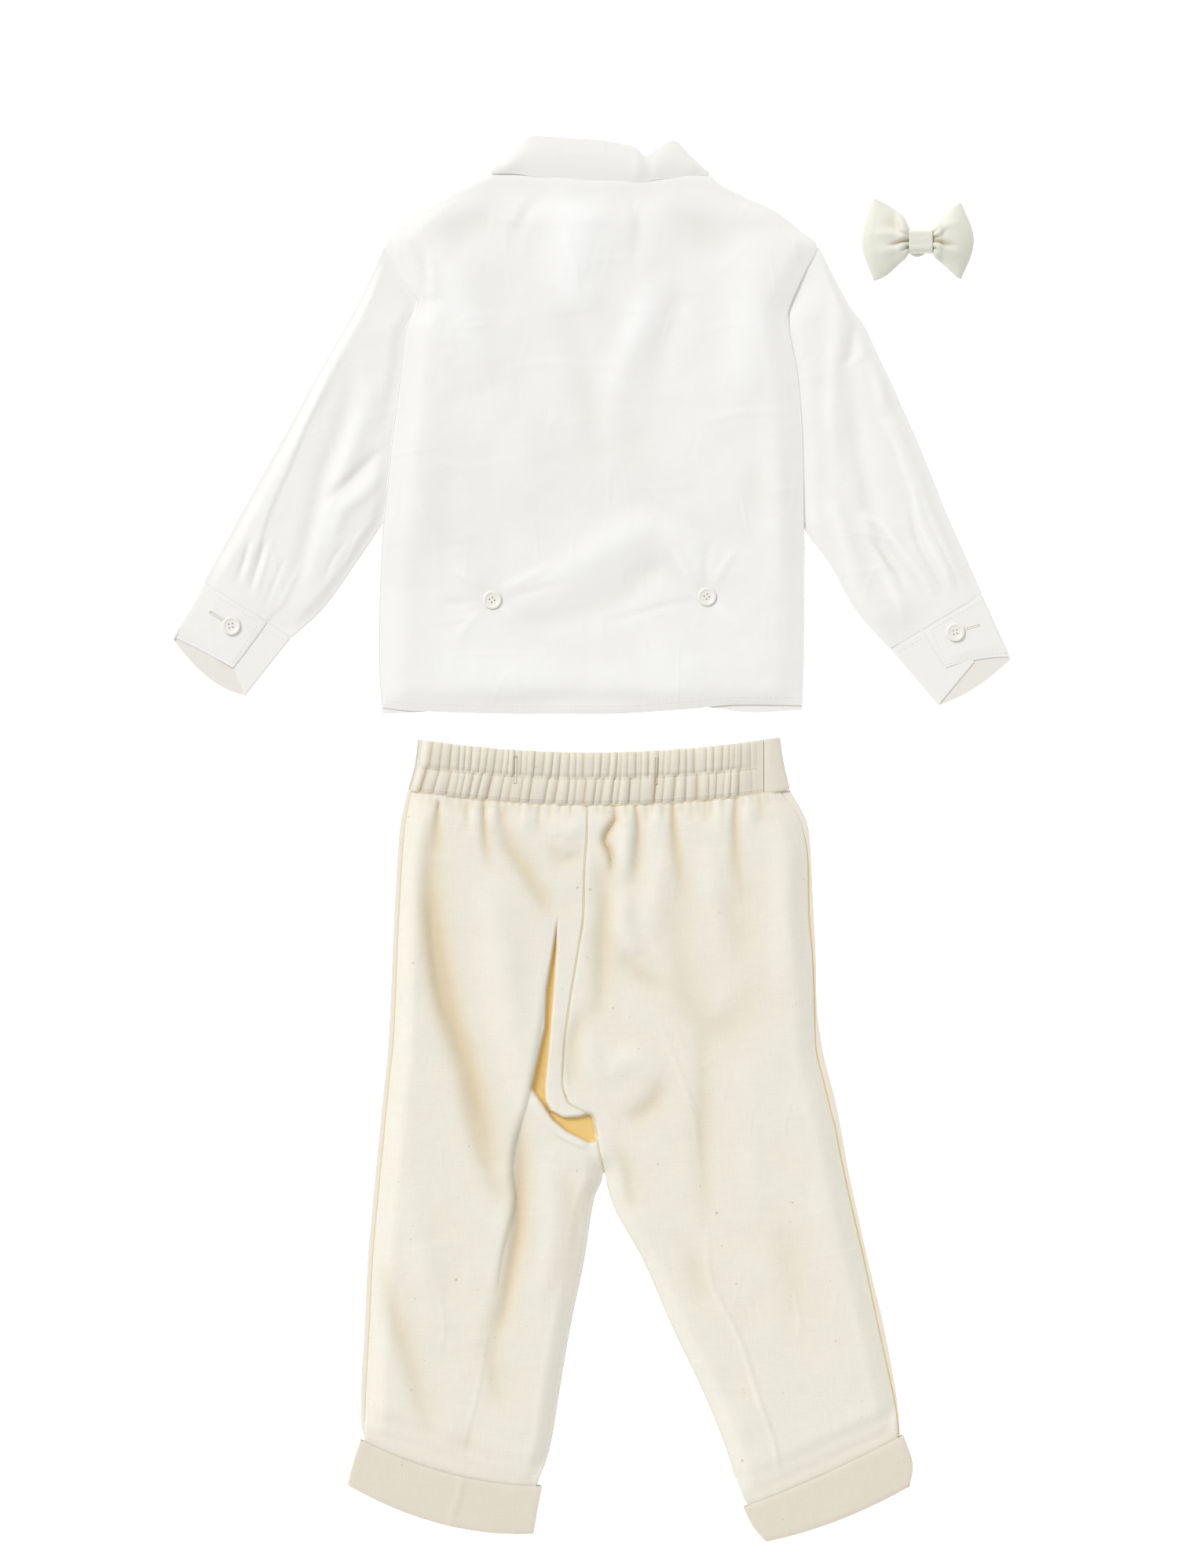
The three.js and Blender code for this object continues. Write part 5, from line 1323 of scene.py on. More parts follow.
# Folds that fan down from the gathers: half widths at both ends, a height and a path
GATHER_FOLDS = table("narrow wide rise path", [
    (1.3, 4, -2.2, photo(559, 1022, 557, 1052, 555, 1090)),
    (1.2, 3, -1.2, photo(595, 1020, 596, 1062)),
    (1.3, 4, -2, photo(616, 1020, 619, 1070, 626, 1110)),
    (1.2, 3, -1.3, photo(636, 1022, 640, 1050)),
    (1, 2.5, -1.6, photo(689, 1022, 686, 1040, 687, 1066)),
    (1.3, 5, -2, photo(809, 1022, 813, 1056, 811, 1100, 804, 1136)),
    (1, 2.5, -1, photo(822, 1022, 825, 1050)),
    (1.5, 6, -2.2, photo(857, 1020, 859, 1060, 866, 1110, 872, 1150)),
    (1, 2.5, -1.1, photo(880, 1020, 882, 1046)),
    (1, 2.5, -1.1, photo(897, 1018, 900, 1050)),
    (1.4, 6, -2, photo(937, 1016, 936, 1054, 940, 1110, 950, 1150)),
    (1.2, 4, -1.3, photo(967, 1014, 971, 1050)),
    (1, 2.5, -0.8, photo(540, 1012, 538, 1040)),
    (1, 2.5, -0.8, photo(578, 1014, 578, 1040)),
    (1.5, 5, 1.4, photo(606, 1022, 607, 1070)),
    (1.5, 5, 1.2, photo(628, 1022, 632, 1060)),
    (1.5, 5, 1.2, photo(668, 1024, 670, 1070)),
    (1.5, 6, 1.4, photo(836, 1024, 838, 1080)),
    (1.5, 5, 1.2, photo(916, 1020, 912, 1070)),
    (1.5, 5, 1.2, photo(952, 1016, 956, 1064)),
])
# Short gathers below the waist seam: pixel across and length in millimetres
SHORT_GATHERS = table("pixel length", [
    (521, 9), (531, 6), (549, 10), (571, 8), (587, 12), (603, 9), (624, 7), (645, 11), (654, 6), (663, 10),
    (677, 7), (700, 12), (713, 6), (727, 8), (745, 5), (761, 7), (771, 10), (797, 9), (831, 7), (845, 11),
    (868, 8), (889, 10), (905, 12), (920, 7), (946, 9), (957, 6), (977, 11), (988, 7), (998, 9),
])

# Down the back waistband: how far the upper and lower gathers stand, and the band's rise under them
BAND_ROWS = table("down upper lower rise", [
    (0, 0.6, 0, 1),
    (0.05, 0.75, 0, 1.5),
    (0.22, 0.95, 0, 2.2),
    (0.42, 0.95, 0, 1.8),
    (0.5, 0.75, 0.1, 0.9),
    (0.535, 0.1, 0.75, 0.9),
    (0.6, 0, 0.95, 1.5),
    (0.76, 0, 1, 2),
    (0.9, 0, 1, 1.6),
    (1, 0, 0.7, 0.9),
])


def waist_seam_y(x):
    """The waist seam's height up the page across the trousers."""
    seam = WAIST[-1]
    share = (x - seam["leftX"]) / (seam["rightX"] - seam["leftX"])
    return mix(seam["leftY"], seam["rightY"], share) - seam["sag"] * 4 * share * (1 - share)


fold_edge = curve(BACK_LEFT, "leftY", "fold")
flap_edge = curve(BACK_LEFT, "leftY", "flap")


def gap_share(x, y, ramp=2.4):
    """Share of the way into the gap: 0 on its outline, 1 a ramp inside it."""
    inside = np.zeros(np.broadcast(x, y).shape, bool)
    for (ax, ay), (bx, by) in zip(GAP_OUTLINE, np.roll(GAP_OUTLINE, -1, axis=0)):
        if ay == by:
            continue
        crosses = ((ay > y) != (by > y)) & (x < (bx - ax) * (y - ay) / (by - ay) + ax)
        inside ^= crosses
    closed = np.vstack([GAP_OUTLINE, GAP_OUTLINE[:1]])
    gap, _ = away_from(closed, x, y)
    return np.where(inside, ease(0, ramp, np.abs(gap)), 0)


def turn_up_top(x):
    """The turn-up's top edge across a leg."""
    left = mix(-382.5, -412, ease(-147, -31.5, x)) - 4
    right = mix(-425.5, -379.5, np.clip((x - 96.5) / 101.5, 0, 1)) - 1
    return np.where(x < 30, left, right)


def hem_lift(x, y):
    """How much the turn-up's front leaf below lifts the leg."""
    return (TROUSER_WALL + GAP) * ease(turn_up_top(x) + 20, turn_up_top(x) + 9, y)


def short_gathers():
    """The short gathers as fanned folds from the waist seam down."""
    found = []
    for row in SHORT_GATHERS:
        x = photo(row["pixel"], 0)[0, 0]
        top, length = waist_seam_y(x), row["length"]
        path = [(x, top + 1), (x + 0.4, top - length / 2), (x, top - length)]
        found.append({"narrow": 0.9, "wide": 2.2, "rise": -1.1, "path": path})
    return found


fanned_folds = GATHER_FOLDS + short_gathers()


def trouser_relief(x, y):
    """Folds, creases, pressed edges, gathers and unevenness of both backs."""
    broad = fold_height(TROUSER_FOLDS, x, y) + fold_height(PRESSED_CREASES, x, y)
    small = fold_height(TROUSER_CREASES, x, y) + step_height(TROUSER_STEPS, x, y)
    wrinkles = uneven(x, y, 30, 0.5) + uneven(x, y, 12, 0.16)
    return broad + small + wrinkles + fanned_height(fanned_folds, x, y)


def trouser_rise(x, y):
    """Soft rise of the back above the fronts, proud along the fold and low in the gap."""
    step = np.where(x < 0, fold_edge(y) - x, -1)
    over = np.where(step > -2, FOLD_STANDS * ease(-1.5, 2.8, step) * np.exp(-np.maximum(step, 0) / 22), 0)
    reach = ease(-60, -130, y) * ease(-320, -190, y)
    puff = np.maximum(TROUSER_PUFF + trouser_relief(x, y) + over * reach, LEAST_TROUSER_PUFF)
    return puff * (1 - gap_share(x, y))


def trouser_free(x, y, down, across, rows, outer_left):
    """Where a back panel is free to rise: away from its side seam, its open inseam and its turn-up."""
    place = section_lines(rows)
    lines = measured(rows)
    opened = [{"share": row["length"] / lines[-1]["length"], "open": row["open"]} for row in lines]
    width = place(down, 1)[0] - place(down, 0)[0]
    outer = (across if outer_left else 1 - across) * width
    inner = (1 - across if outer_left else across) * width
    free = ease(0, 14, outer) * mix(1, ease(0, 12, inner), curve(opened, "share", "open")(down))
    pressed = 1 - 0.9 * ease(turn_up_top(x) + 26, turn_up_top(x) + 6, y)
    return free * pressed * mix(0.75, 1, ease(0, 0.03, down))


def below_waist(rows):
    """Section lines whose first ones follow the waist seam."""
    place = section_lines(rows)

    def lowered(down, across):
        x, y = place(down, across)
        top = place(0 * down, across)[1]
        return x, y + (waist_seam_y(x) - GAP - top) * ease(0.14, 0, down)

    return lowered


def back_panel(name, rows, down, across, look, outer_left):
    """One trouser back with painted shade in its folds and its gap and a faint painted highlight on its
    ridges; gives its upper places for the inseam.
    """
    x, y = below_waist(rows)(down, across)
    free = trouser_free(x, y, down, across, rows, outer_left)
    base = mix(TROUSER_SHELL + EDGE_GAP, TROUSER_BACK_BASE, np.clip(4 * free, 0, 1))
    z = base + hem_lift(x, y) + free * trouser_rise(x, y)
    # Painted shade: broad and fanned troughs and hollows deepen the tone, the gap takes the gap shade, and
    # ridges a faint painted highlight
    broad = -fold_height(troughs(TROUSER_FOLDS, 1.55), x, y) / TROUSER_PUFF
    fanned = -fanned_height(troughs(fanned_folds, 1.25), x, y) / 2
    tone = 0.05 + free * (0.64 * np.clip(broad, 0, 1) + 0.1 * np.clip(hollow(z, 9, 1.5), -0.5, 1))
    tone = np.minimum(tone + 0.7 * mix(0.5, 1, free) * np.clip(fanned, 0, 1), FOLD_SHADE_TONE)
    tone = mix(tone, 1, gap_share(x, y, 1.2))
    shell(name, np.stack([x, y, z], -1), TROUSER_SHELL, look, depth=tone)
    return x, y, z


def left_back_columns(down):
    """Columns of the left back: even runs either side of the fold, close at its two edges."""
    place = section_lines(BACK_LEFT)
    ax, y = place(down, 0)
    bx, _ = place(down, 1)
    fold, flap = fold_edge(y), flap_edge(y)
    marks = [(x - ax) / (bx - ax) for x in (fold - 0.4, fold + 1.8, flap - 1.8, flap + 0.4)]
    marks = [0 * y, *marks, 0 * y + 1]
    runs = []
    for count, start, end in zip((60, 7, 14, 7, 34), marks, marks[1:]):
        runs.append(mix(start, end, np.linspace(0, 1, count, endpoint=False)))
    return np.hstack([*runs, marks[-1]])


def make_trousers():
    """Two backs over two fronts, with the rolls that close their inseams."""
    down = row_shares(BACK_LEFT, 2.2, (-130, -212))[:, None]
    left = back_panel("trouser_back_left", BACK_LEFT, down, left_back_columns(down), TROUSERS_LEFT, True)
    down = row_shares(BACK_RIGHT, 2.2)[:, None]
    across = np.linspace(0, 1, 104)[None]
    right = back_panel("trouser_back_right", BACK_RIGHT, down, across, TROUSERS_RIGHT, False)
    for name, rows, look in (
        ("trouser_front_left", FRONT_LEFT, TROUSERS_LEFT),
        ("trouser_front_right", FRONT_RIGHT, TROUSERS_RIGHT),
    ):
        across = np.linspace(0, 1, 44)
        panel(name, row_shares(rows, 5), across, below_waist(rows), hem_lift, TROUSER_SHELL, look)
    for name, (x, y, z), column, side, end in (
        ("inseam_roll_left", left, -1, 1, -404),
        ("inseam_roll_right", right, 0, -1, -410),
    ):
        open_rows = (y[:, column] < CROTCH) & (y[:, column] > end)
        points = np.stack([x[:, column], y[:, column]], -1)[open_rows]
        low = hem_lift(points[:, 0], points[:, 1])
        high = z[:, column][open_rows] + TROUSER_SHELL
        node = "trouser_front_left" if side > 0 else "trouser_front_right"
        look = TROUSERS_LEFT if side > 0 else TROUSERS_RIGHT
        grid = edge_roll(points, low, high, LEG_ROLL_WALL, side)
        shell(name, grid, LEG_ROLL_WALL, look, node)


def make_turn_ups():
    """A band round the end of each leg."""
    inside = 2 * TROUSER_WALL + 5 * GAP + 2 * (TROUSER_WALL - TROUSER_SHELL)
    down = np.linspace(0, 1, 28)

    def swell(x, y, down, across):
        edges = TURN_UP_EDGE_DROP * (ease(0.1, 0, down) + ease(0.9, 1, down))
        return TURN_UP_SWELL * np.sin(np.pi * across) + fold_height(PRESSED_CREASES, x, y) - edges

    for name, rows in (("turn_up_left", TURN_UP_LEFT), ("turn_up_right", TURN_UP_RIGHT)):
        pressed_tube(name, down, section_lines(rows), TROUSER_SHELL, inside, swell, TURN_UPS)


def gather_phase(share, count):
    """Gathers counted across the band, unevenly spaced."""
    drift = 0.35 * np.sin(17 * share + count) + 0.2 * np.sin(41 * share + 1) + 0.12 * np.sin(97 * share)
    return count * share + drift + 1


def gather_valley(phase):
    """1 in the valley between two gathers, 0 on the middle of one."""
    return np.abs(2 * (phase % 1) - 1)


def gather_wave(phase, count):
    """Height of the gathers across the band: plump, uneven, with sharp valleys between them."""
    plump = (1 - gather_valley(phase) ** 2.2) ** 0.8
    height = 0.8 + 0.2 * np.sin(2.9 * np.floor(phase) ** 1.3 + count)
    deep = 0.65 + 0.35 * np.sin(5.3 * np.round(phase) + count)
    return GATHER_DEPTH * height * (1 - (1 - plump) * deep)


def front_waistband_columns(place, down, end):
    """The plain band under the gathered one, folded over at its right end and brought back to an end."""
    fold = 0.992
    low = TROUSER_WALL - TROUSER_SHELL
    rise = TROUSER_WALL + GAP
    columns = []

    def add(at, height):
        x, y = place(down, at)
        columns.append(np.stack([x, y, np.full(x.shape, height)], -1))

    for at in np.linspace(0, fold, 40):
        add(at, low)
    for angle in np.linspace(0, np.pi, 7)[1:-1]:
        add(fold + 0.004 * np.sin(angle), low + rise * (1 - np.cos(angle)) / 2)
    for turned in np.linspace(0, 1, 16):
        add(mix(0.99, end, turned), low + rise + 0.6 * np.sin(np.pi * turned))
    return np.stack(columns, 1)[:, ::-1]


def make_waistband():
    """The gathered back band and the plain front one."""
    place = section_lines(WAIST)
    down = np.linspace(0, 1, 34)[:, None]
    left = place(down, 0)[0]
    right = place(down, 1)[0]
    end = (WAIST_ENDS_AT - GAP - left) / (right - left)
    share = np.linspace(0, 1, 900)[None]
    across = mix(0.006, end, share)
    free = ease(0, 0.03, share) * ease(1, 0.9, share)
    read = {name: curve(BAND_ROWS, "down", name)(down) for name in ("upper", "lower", "rise")}
    leaning = share + GATHER_LEAN * np.sin(37 * share) * down
    upper = gather_phase(leaning, UPPER_GATHERS)
    lower = gather_phase(leaning, LOWER_GATHERS)
    upper_wave = gather_wave(upper, UPPER_GATHERS) * read["upper"]
    wave = upper_wave + gather_wave(lower, LOWER_GATHERS) * read["lower"]
    # Painted shade in the valleys between the gathers
    deep = np.maximum(gather_valley(upper) ** 5 * read["upper"], gather_valley(lower) ** 5 * read["lower"])
    x, y = place(down, across)
    y = y + free * (wave - 1.4) * (0.45 * ease(0.12, 0, down) - 0.25 * ease(0.9, 1, down))
    z = TROUSER_BACK_BASE + free * (read["rise"] + wave)
    tone = 0.1 + FOLD_SHADE_TONE * free * deep
    shell("waistband_back", np.stack([x, y, z], -1), TROUSER_SHELL, BAND, depth=tone)
    end = ((WAIST_ENDS_AT - left) / (right - left))[:, 0]
    grid = front_waistband_columns(place, down[:, 0], end)
    shell("waistband_front", grid, TROUSER_SHELL, BAND)


# Bow tie

BOW = {"x": 209, "y": 378.5, "knotWidth": 15, "knotHeight": 15.2, "knotTop": 8.2}
BOW_LEFT = table("x upper lower dome", [
    (-28.5, 28, 24.3, 2),
    (-26, 26.6, 23.6, 4.2),
    (-20, 23.4, 20.2, 6),
    (-15, 20, 15.6, 6.4),
    (-11.7, 17.5, 12.6, 5.8),
    (-9.3, 13.6, 10.8, 5),
    (-7.9, 10, 8.3, 4.2),
    (-5.5, 6.4, 6, 2.6),
])
BOW_RIGHT = table("x upper lower dome", [
    (5.5, 6.2, 5.8, 2.6),
    (7.6, 8, 7.5, 4.2),
    (9.5, 10.7, 10.2, 5),
    (12, 13.2, 11.8, 5.8),
    (15.5, 16.8, 14.4, 6.4),
    (20, 21.5, 18.8, 6),
    (23.5, 24, 22, 4.2),
    (25.4, 25.2, 23.2, 2),
])
BOW_FOLDS = table("width rise path", [
    (1.5, -3.6, [(-6, 0.2), (-9, 0), (-13, -0.8), (-18, -2.6)]),
    (1.2, -2.6, [(-6, -3.4), (-9, -4.2), (-12, -6.2)]),
    (1.2, -1.6, [(-7, 3), (-10, 4.4), (-13, 6)]),
    (3, -1, [(-12, 4), (-16, 9), (-19, 15)]),
    (3, 1.2, [(-10, 2.4), (-15, 4.6), (-24, 5)]),
    (3, 1.2, [(-10, -2.6), (-15, -5), (-23, -7)]),
    (1.4, -2.8, [(6, 2.6), (9, 2.4), (12, 2.6)]),
    (1.6, -3.4, [(6, -0.4), (9, -0.2), (13, -1), (18, -3)]),
    (1.2, -2.6, [(6, -3.8), (9, -4.6), (11, -6)]),
    (1.2, -2, [(6, 5), (9, 6), (11.5, 7.6)]),
    (3, 1.3, [(10, 4.4), (14, 8), (21, 13)]),
    (3, 1.3, [(10, -2.6), (15, -6), (21, -10)]),
    (2, -1, [(12, 3), (15, 6), (17, 9)]),
])


def make_bow_loop(name, rows, side):
    """A folded leaf: its back lies on the surface and comes round the outer fold to the front."""
    read = {key: curve(rows, "x", key) for key in ("upper", "lower", "dome")}
    reaches = [abs(row["x"]) for row in rows]
    inner, outer = min(reaches), max(reaches)
    out = np.linspace(0, 1, 30) ** 0.9
    turn = np.linspace(0, np.pi, 7)[1:-1]
    bulged = np.concatenate([out, 1 + 0.02 * np.sin(turn), out[::-1]])
    layer = np.concatenate([0 * out, (1 - np.cos(turn)) / 2, 0 * out + 1])
    down = np.linspace(0, 1, 60)[:, None]
    x = side * mix(inner, outer, np.minimum(bulged, 1))[None]
    y = mix(read["upper"](x), -read["lower"](x), down)
    pinch = CLIP_THICKNESS + BOW_WALL + 2.5 * GAP
    rise = pinch * ease(outer * 0.6, inner + 4, np.abs(x))
    edge = np.sin(np.pi * np.clip(down, 0.02, 0.98)) ** 0.6
    front = GAP + np.maximum(read["dome"](x) + fold_height(BOW_FOLDS, x, y), 0.4) * edge
    height = np.where(layer == 1, front, layer * (GAP + 1.2 * edge))
    swell = side * BOW_BULGE * np.sin(np.pi * down) ** 1.2 * np.maximum(0, bulged - 0.5) * 2
    place = BOW["x"] + x + side * 30 * np.maximum(bulged - 1, 0) + swell
    grid = np.stack([place + 0 * y, BOW["y"] + y, BOW_WALL + rise + height], -1)
    # Painted shade in the troughs of the front layer's folds
    tone = 0.8 * valley(fold_height(BOW_FOLDS, x, y), 2.6) * (layer == 1)
    if side > 0:
        grid, tone = grid[:, ::-1], tone[:, ::-1]
    shell(name, grid, BOW_SHELL, BOW_CLOTH, depth=tone)


def make_knot():
    """A band wound round the middle of the bow, with a faint crease."""
    half_x, half_y = BOW["knotWidth"] / 2, BOW["knotHeight"] / 2
    low, top = CLIP_THICKNESS + GAP, BOW["knotTop"]
    outline = np.array([
        (0, low), (half_y - 1.5, low), (half_y - 0.2, 3.2),
        (half_y, 5), (half_y - 1, 7.4), (half_y - 3, top),
        (0, top + 0.5), (3 - half_y, top), (1 - half_y, 7.4),
        (-half_y, 5), (0.2 - half_y, 3.2), (1.5 - half_y, low),
    ])
    ring = rounded(np.vstack([outline, outline[:1]]))[:-1]
    shares = np.linspace(0, 1, 30)
    grid = []
    for share in shares:
        x = mix(half_x, -half_x, share)
        waist = 1 - 0.03 * np.sin(np.pi * share)
        crease = 0.1 * np.sin(ring[:, 0] * 1.1 + share) * np.sin(np.pi * share)
        z = np.clip(ring[:, 1], low + BOW_SHELL, top) + crease * (ring[:, 1] > low + 1)
        grid.append(np.stack([0 * z + BOW["x"] + x, BOW["y"] + ring[:, 0] * 0.93 * waist, z], -1))
    shell("bow_knot", np.array(grid), BOW_SHELL, BOW_CLOTH, closed=True)


# Seams and stitches


def surface_reader():
    """A function giving the height of the cloth's upper surface at a place."""
    offsets = np.cumsum([0] + [len(points) for points, _ in cloth])
    points = np.vstack([points for points, _ in cloth]).tolist()
    faces = [[int(offset) + i for i in face] for offset, (_, faces) in zip(offsets, cloth) for face in faces]
    tree = BVHTree.FromPolygons(points, faces)

    def read(x, y):
        hit = tree.ray_cast(Vector((x, y, 30)), Vector((0, 0, -1)))[0]
        return hit.z if hit else 0.0

    return read


def evenly(path, pitch):
    """A path resampled at an even pitch, with its unit normals."""
    path = np.asarray(path, float)
    steps = np.hypot(*np.diff(path, axis=0).T)
    at = np.concatenate([[0], np.cumsum(steps)])
    count = max(2, int(at[-1] / pitch) + 1)
    along = np.linspace(0, at[-1], count)
    points = np.stack([np.interp(along, at, path[:, i]) for i in (0, 1)], -1)
    tangent = np.gradient(points, axis=0)
    tangent /= np.linalg.norm(tangent, axis=1, keepdims=True)
    return points, np.stack([-tangent[:, 1], tangent[:, 0]], -1)


def without_dips(heights):
    """Heights with any one that fell between two pieces raised to its neighbours."""
    heights = np.array(heights)
    padded = np.pad(heights, 1, "edge")
    return np.maximum(heights, np.maximum(padded[:-2], padded[2:]) - 0.3)


def make_seam(read, name, path, look, half=1.1, sink=0.22, tone=0.3):
    """Cloth turned in at a seam, seen as a fine groove between two panels, its tone a painted shade in the
    groove.
    """
    points, normals = evenly(path, 1.5)
    left = [read(*(p + n * (half - 0.1))) for p, n in zip(points, normals)]
    right = [read(*(p - n * (half - 0.1))) for p, n in zip(points, normals)]
    rows = []
    for share, drop in ((1, 0.75), (0.6, 0.35), (0.2, 0), (-0.2, 0), (-0.6, 0.35), (-1, 0.75)):
        z = mix(without_dips(right), without_dips(left), share / 2 + 0.5) - sink - drop
        rows.append(np.concatenate([points + normals * half * share, z[:, None]], -1))
    grid = np.maximum(np.stack(rows, 0) - [0, 0, SEAM_WALL], [-np.inf, -np.inf, 0.02])
    return shell(name, grid, SEAM_WALL, look, ADDED, depth=tone)


def stitch(start, end, radius):
    """One stitch: a tapered thread from a start to an end, its ends sunk in the cloth."""
    along = end - start
    side = np.array([-along[1], along[0], 0]) / max(np.hypot(along[0], along[1]), 1e-6)
    up = np.array([0, 0, 1.0])
    rings = []
    for share, size, sink in ((0, 0.5, -1.2), (0.2, 1, 0), (0.5, 1.1, 0.35), (0.8, 1, 0), (1, 0.5, -1.2)):
        middle = start + along * share + up * sink * radius
        for angle in np.linspace(0, 2 * np.pi, 6, endpoint=False):
            rings.append(middle + (side * np.cos(angle) + up * np.sin(angle)) * radius * size)
    faces = [[5, 4, 3, 2, 1, 0], [24, 25, 26, 27, 28, 29]]
    for ring in range(4):
        for i in range(6):
            j = (i + 1) % 6
            faces.append([ring * 6 + i, ring * 6 + j, ring * 6 + 6 + j, ring * 6 + 6 + i])
    return np.array(rings), faces


def add_threads(name, stitches, look):
    """Stitches of 30 points each, joined in one mesh."""
    faces = [[i + 30 * n for i in face] for n, (_, sides) in enumerate(stitches) for face in sides]
    return add_mesh(name, np.vstack([points for points, _ in stitches]), faces, look)


def run_of_stitches(read, path, length=1.9, gap=0.75, radius=0.14):
    """Stitches end to end along a path."""
    points, _ = evenly(path, length + gap)
    found = []
    for a, b in zip(points, points[1:]):
        b = a + (b - a) * length / (length + gap)
        ends = [np.array([*p, read(*p) + radius * 0.25]) for p in (a, b)]
        found.append(stitch(*ends, radius))
    return found


def stitched_hole(read, path, half=0.95, bar=0.65, radius=0.13):
    """A buttonhole: close crosswise stitches down both sides and a bar at each end."""
    points, normals = evenly(path, 0.42)
    found = []
    for p, n in zip(points, normals):
        for side in (1, -1):
            a, b = p + n * side * (half - bar), p + n * side * half
            found.append(stitch(*[np.array([*q, read(*q) + radius * 0.6]) for q in (a, b)], radius))
    for p, n in ((points[0], normals[0]), (points[-1], normals[-1])):
        for step in (-0.25, 0, 0.25):
            across = np.array([n[1], -n[0]]) * step
            ends = [p + across - n * half, p + across + n * half]
            found.append(stitch(*[np.array([*q, read(*q) + radius]) for q in ends], radius * 1.2))
    return found


def along_cuff(cuff, hem, pairs):
    """A path on a cuff through places given as shares across and down."""
    return np.array([cuff_place(cuff, hem, across, down) for across, down in pairs])


def make_seams(read):
    """All the seams that show."""
    armhole = [(-131.2, 375.3), (-110.4, 340.6), (-112.4, 334), (-116, 327)]
    make_seam(read, "armhole_seam_left", armhole, SHIRT, sink=0.12)
    ys = np.linspace(340, 200, 60)
    beside_sleeve = np.stack([shirt_right(ys) + 0.5, ys], -1)
    make_seam(read, "armhole_seam_right", [(143.6, 375), (128.4, 341), *beside_sleeve], SHIRT, sink=0.12)
    make_seam(read, "cuff_seam_left", [(-246.2, 162.2), (-191.2, 127.4)], SHIRT_LEFT)
    make_seam(read, "cuff_seam_right", [(190.8, 120), (248.2, 154.3)], SHIRT_RIGHT)
    xs = np.linspace(-115, 124, 60)
    waist = np.stack([xs, waist_seam_y(xs) - 0.15], -1)
    # The trousers' seams take painted shade in their grooves, and the side seams are painted as dark lines of
    # gap shade
    make_seam(read, "waist_seam", waist, TROUSERS, tone=0.6)
    rows = [row for row in BACK_RIGHT if row["leftY"] > CROTCH]
    seat = [((row["leftX"] + left["rightX"]) / 2, row["leftY"]) for row, left in zip(rows, BACK_LEFT)]
    make_seam(read, "seat_seam", rounded(seat), TROUSERS, sink=0.05, tone=0.6)
    outer = [(row["rightX"] + 0.4, row["rightY"]) for row in BACK_RIGHT if row["rightY"] > LEG_SEAMS_END]
    make_seam(read, "side_seam_right", rounded(outer), TROUSERS_RIGHT, half=0.9, sink=0.1, tone=1)
    outer = [(row["leftX"] - 0.4, row["leftY"]) for row in BACK_LEFT if row["leftY"] > LEG_SEAMS_END]
    make_seam(read, "side_seam_left", rounded(outer), TROUSERS_LEFT, half=0.9, sink=0.1, tone=0.75)


def make_stitches(read):
    """All the topstitching and the buttonholes."""
    found = []
    for cuff in CUFFS:
        top, bottom = (end - 0.05 for end in cuff["overlapEnd"])
        found += run_of_stitches(read, along_cuff(cuff, "Above", [(0.03, 0.07), (0.35, 0.07), (top, 0.07)]))
        round_end = [(0.04, 0.93), (0.2, 0.93), (0.4, 0.93), (bottom, 0.93), (top, 0.1)]
        found += run_of_stitches(read, along_cuff(cuff, "Above", round_end))
        found += run_of_stitches(read, along_cuff(cuff, "Below", [(top + 0.1, 0.08), (0.96, 0.08)]))
    xs = np.linspace(-131, 132, 80)
    found += run_of_stitches(read, np.stack([xs, back_hem(xs) + HEM_DEPTH], -1))
    add_threads("shirt_stitches", found, THREAD)
    holes = sum([stitched_hole(read, cuff["hole"]) for cuff in CUFFS], [])
    add_threads("cuff_buttonholes", holes, HOLE_THREAD)
    place = section_lines(WAIST)
    across = np.linspace(0.02, 0.93, 120)
    found = []
    for down in (0.535, 0.93):
        found += run_of_stitches(read, np.stack(place(down, across), -1), 1.5, 0.6)
    add_threads("waistband_stitches", found, BAND_THREAD)
    holes = stitched_hole(read, photo(657, 963, 656, 997), 1.3, 0.8)
    holes += stitched_hole(read, photo(836, 965, 835, 998), 1.3, 0.8)
    add_threads("waistband_buttonholes", holes, BAND_THREAD)


# Buttons and clip

BUTTON_PROFILE = [
    (0, 0), (2, 0), (5.1, 0), (5.7, 0.3), (6, 0.7), (6, 1.1), (5.8, 1.5),
    (5.4, 1.7), (4.9, 1.75), (4.4, 1.68), (4.0, 1.5), (3.6, 1.35), (2.6, 1.3), (0, 1.3),
]


def lathe(profile, parts):
    """Points and faces of a profile turned about the upright axis, closed on the axis at both ends."""
    angles = np.linspace(0, 2 * np.pi, parts, endpoint=False)
    rings = [[(r * np.cos(a), r * np.sin(a), z) for a in angles] for r, z in profile[1:-1]]
    points = np.array([(0, 0, profile[0][1]), *sum(rings, []), (0, 0, profile[-1][1])])
    faces = []
    for i in range(parts):
        j = (i + 1) % parts
        faces.append((0, 1 + j, 1 + i))
        for ring in range(len(rings) - 1):
            a, b = 1 + ring * parts, 1 + (ring + 1) * parts
            faces.append((a + i, a + j, b + j, b + i))
        a = 1 + (len(rings) - 1) * parts
        faces.append((a + i, a + j, len(points) - 1))
    return points, faces


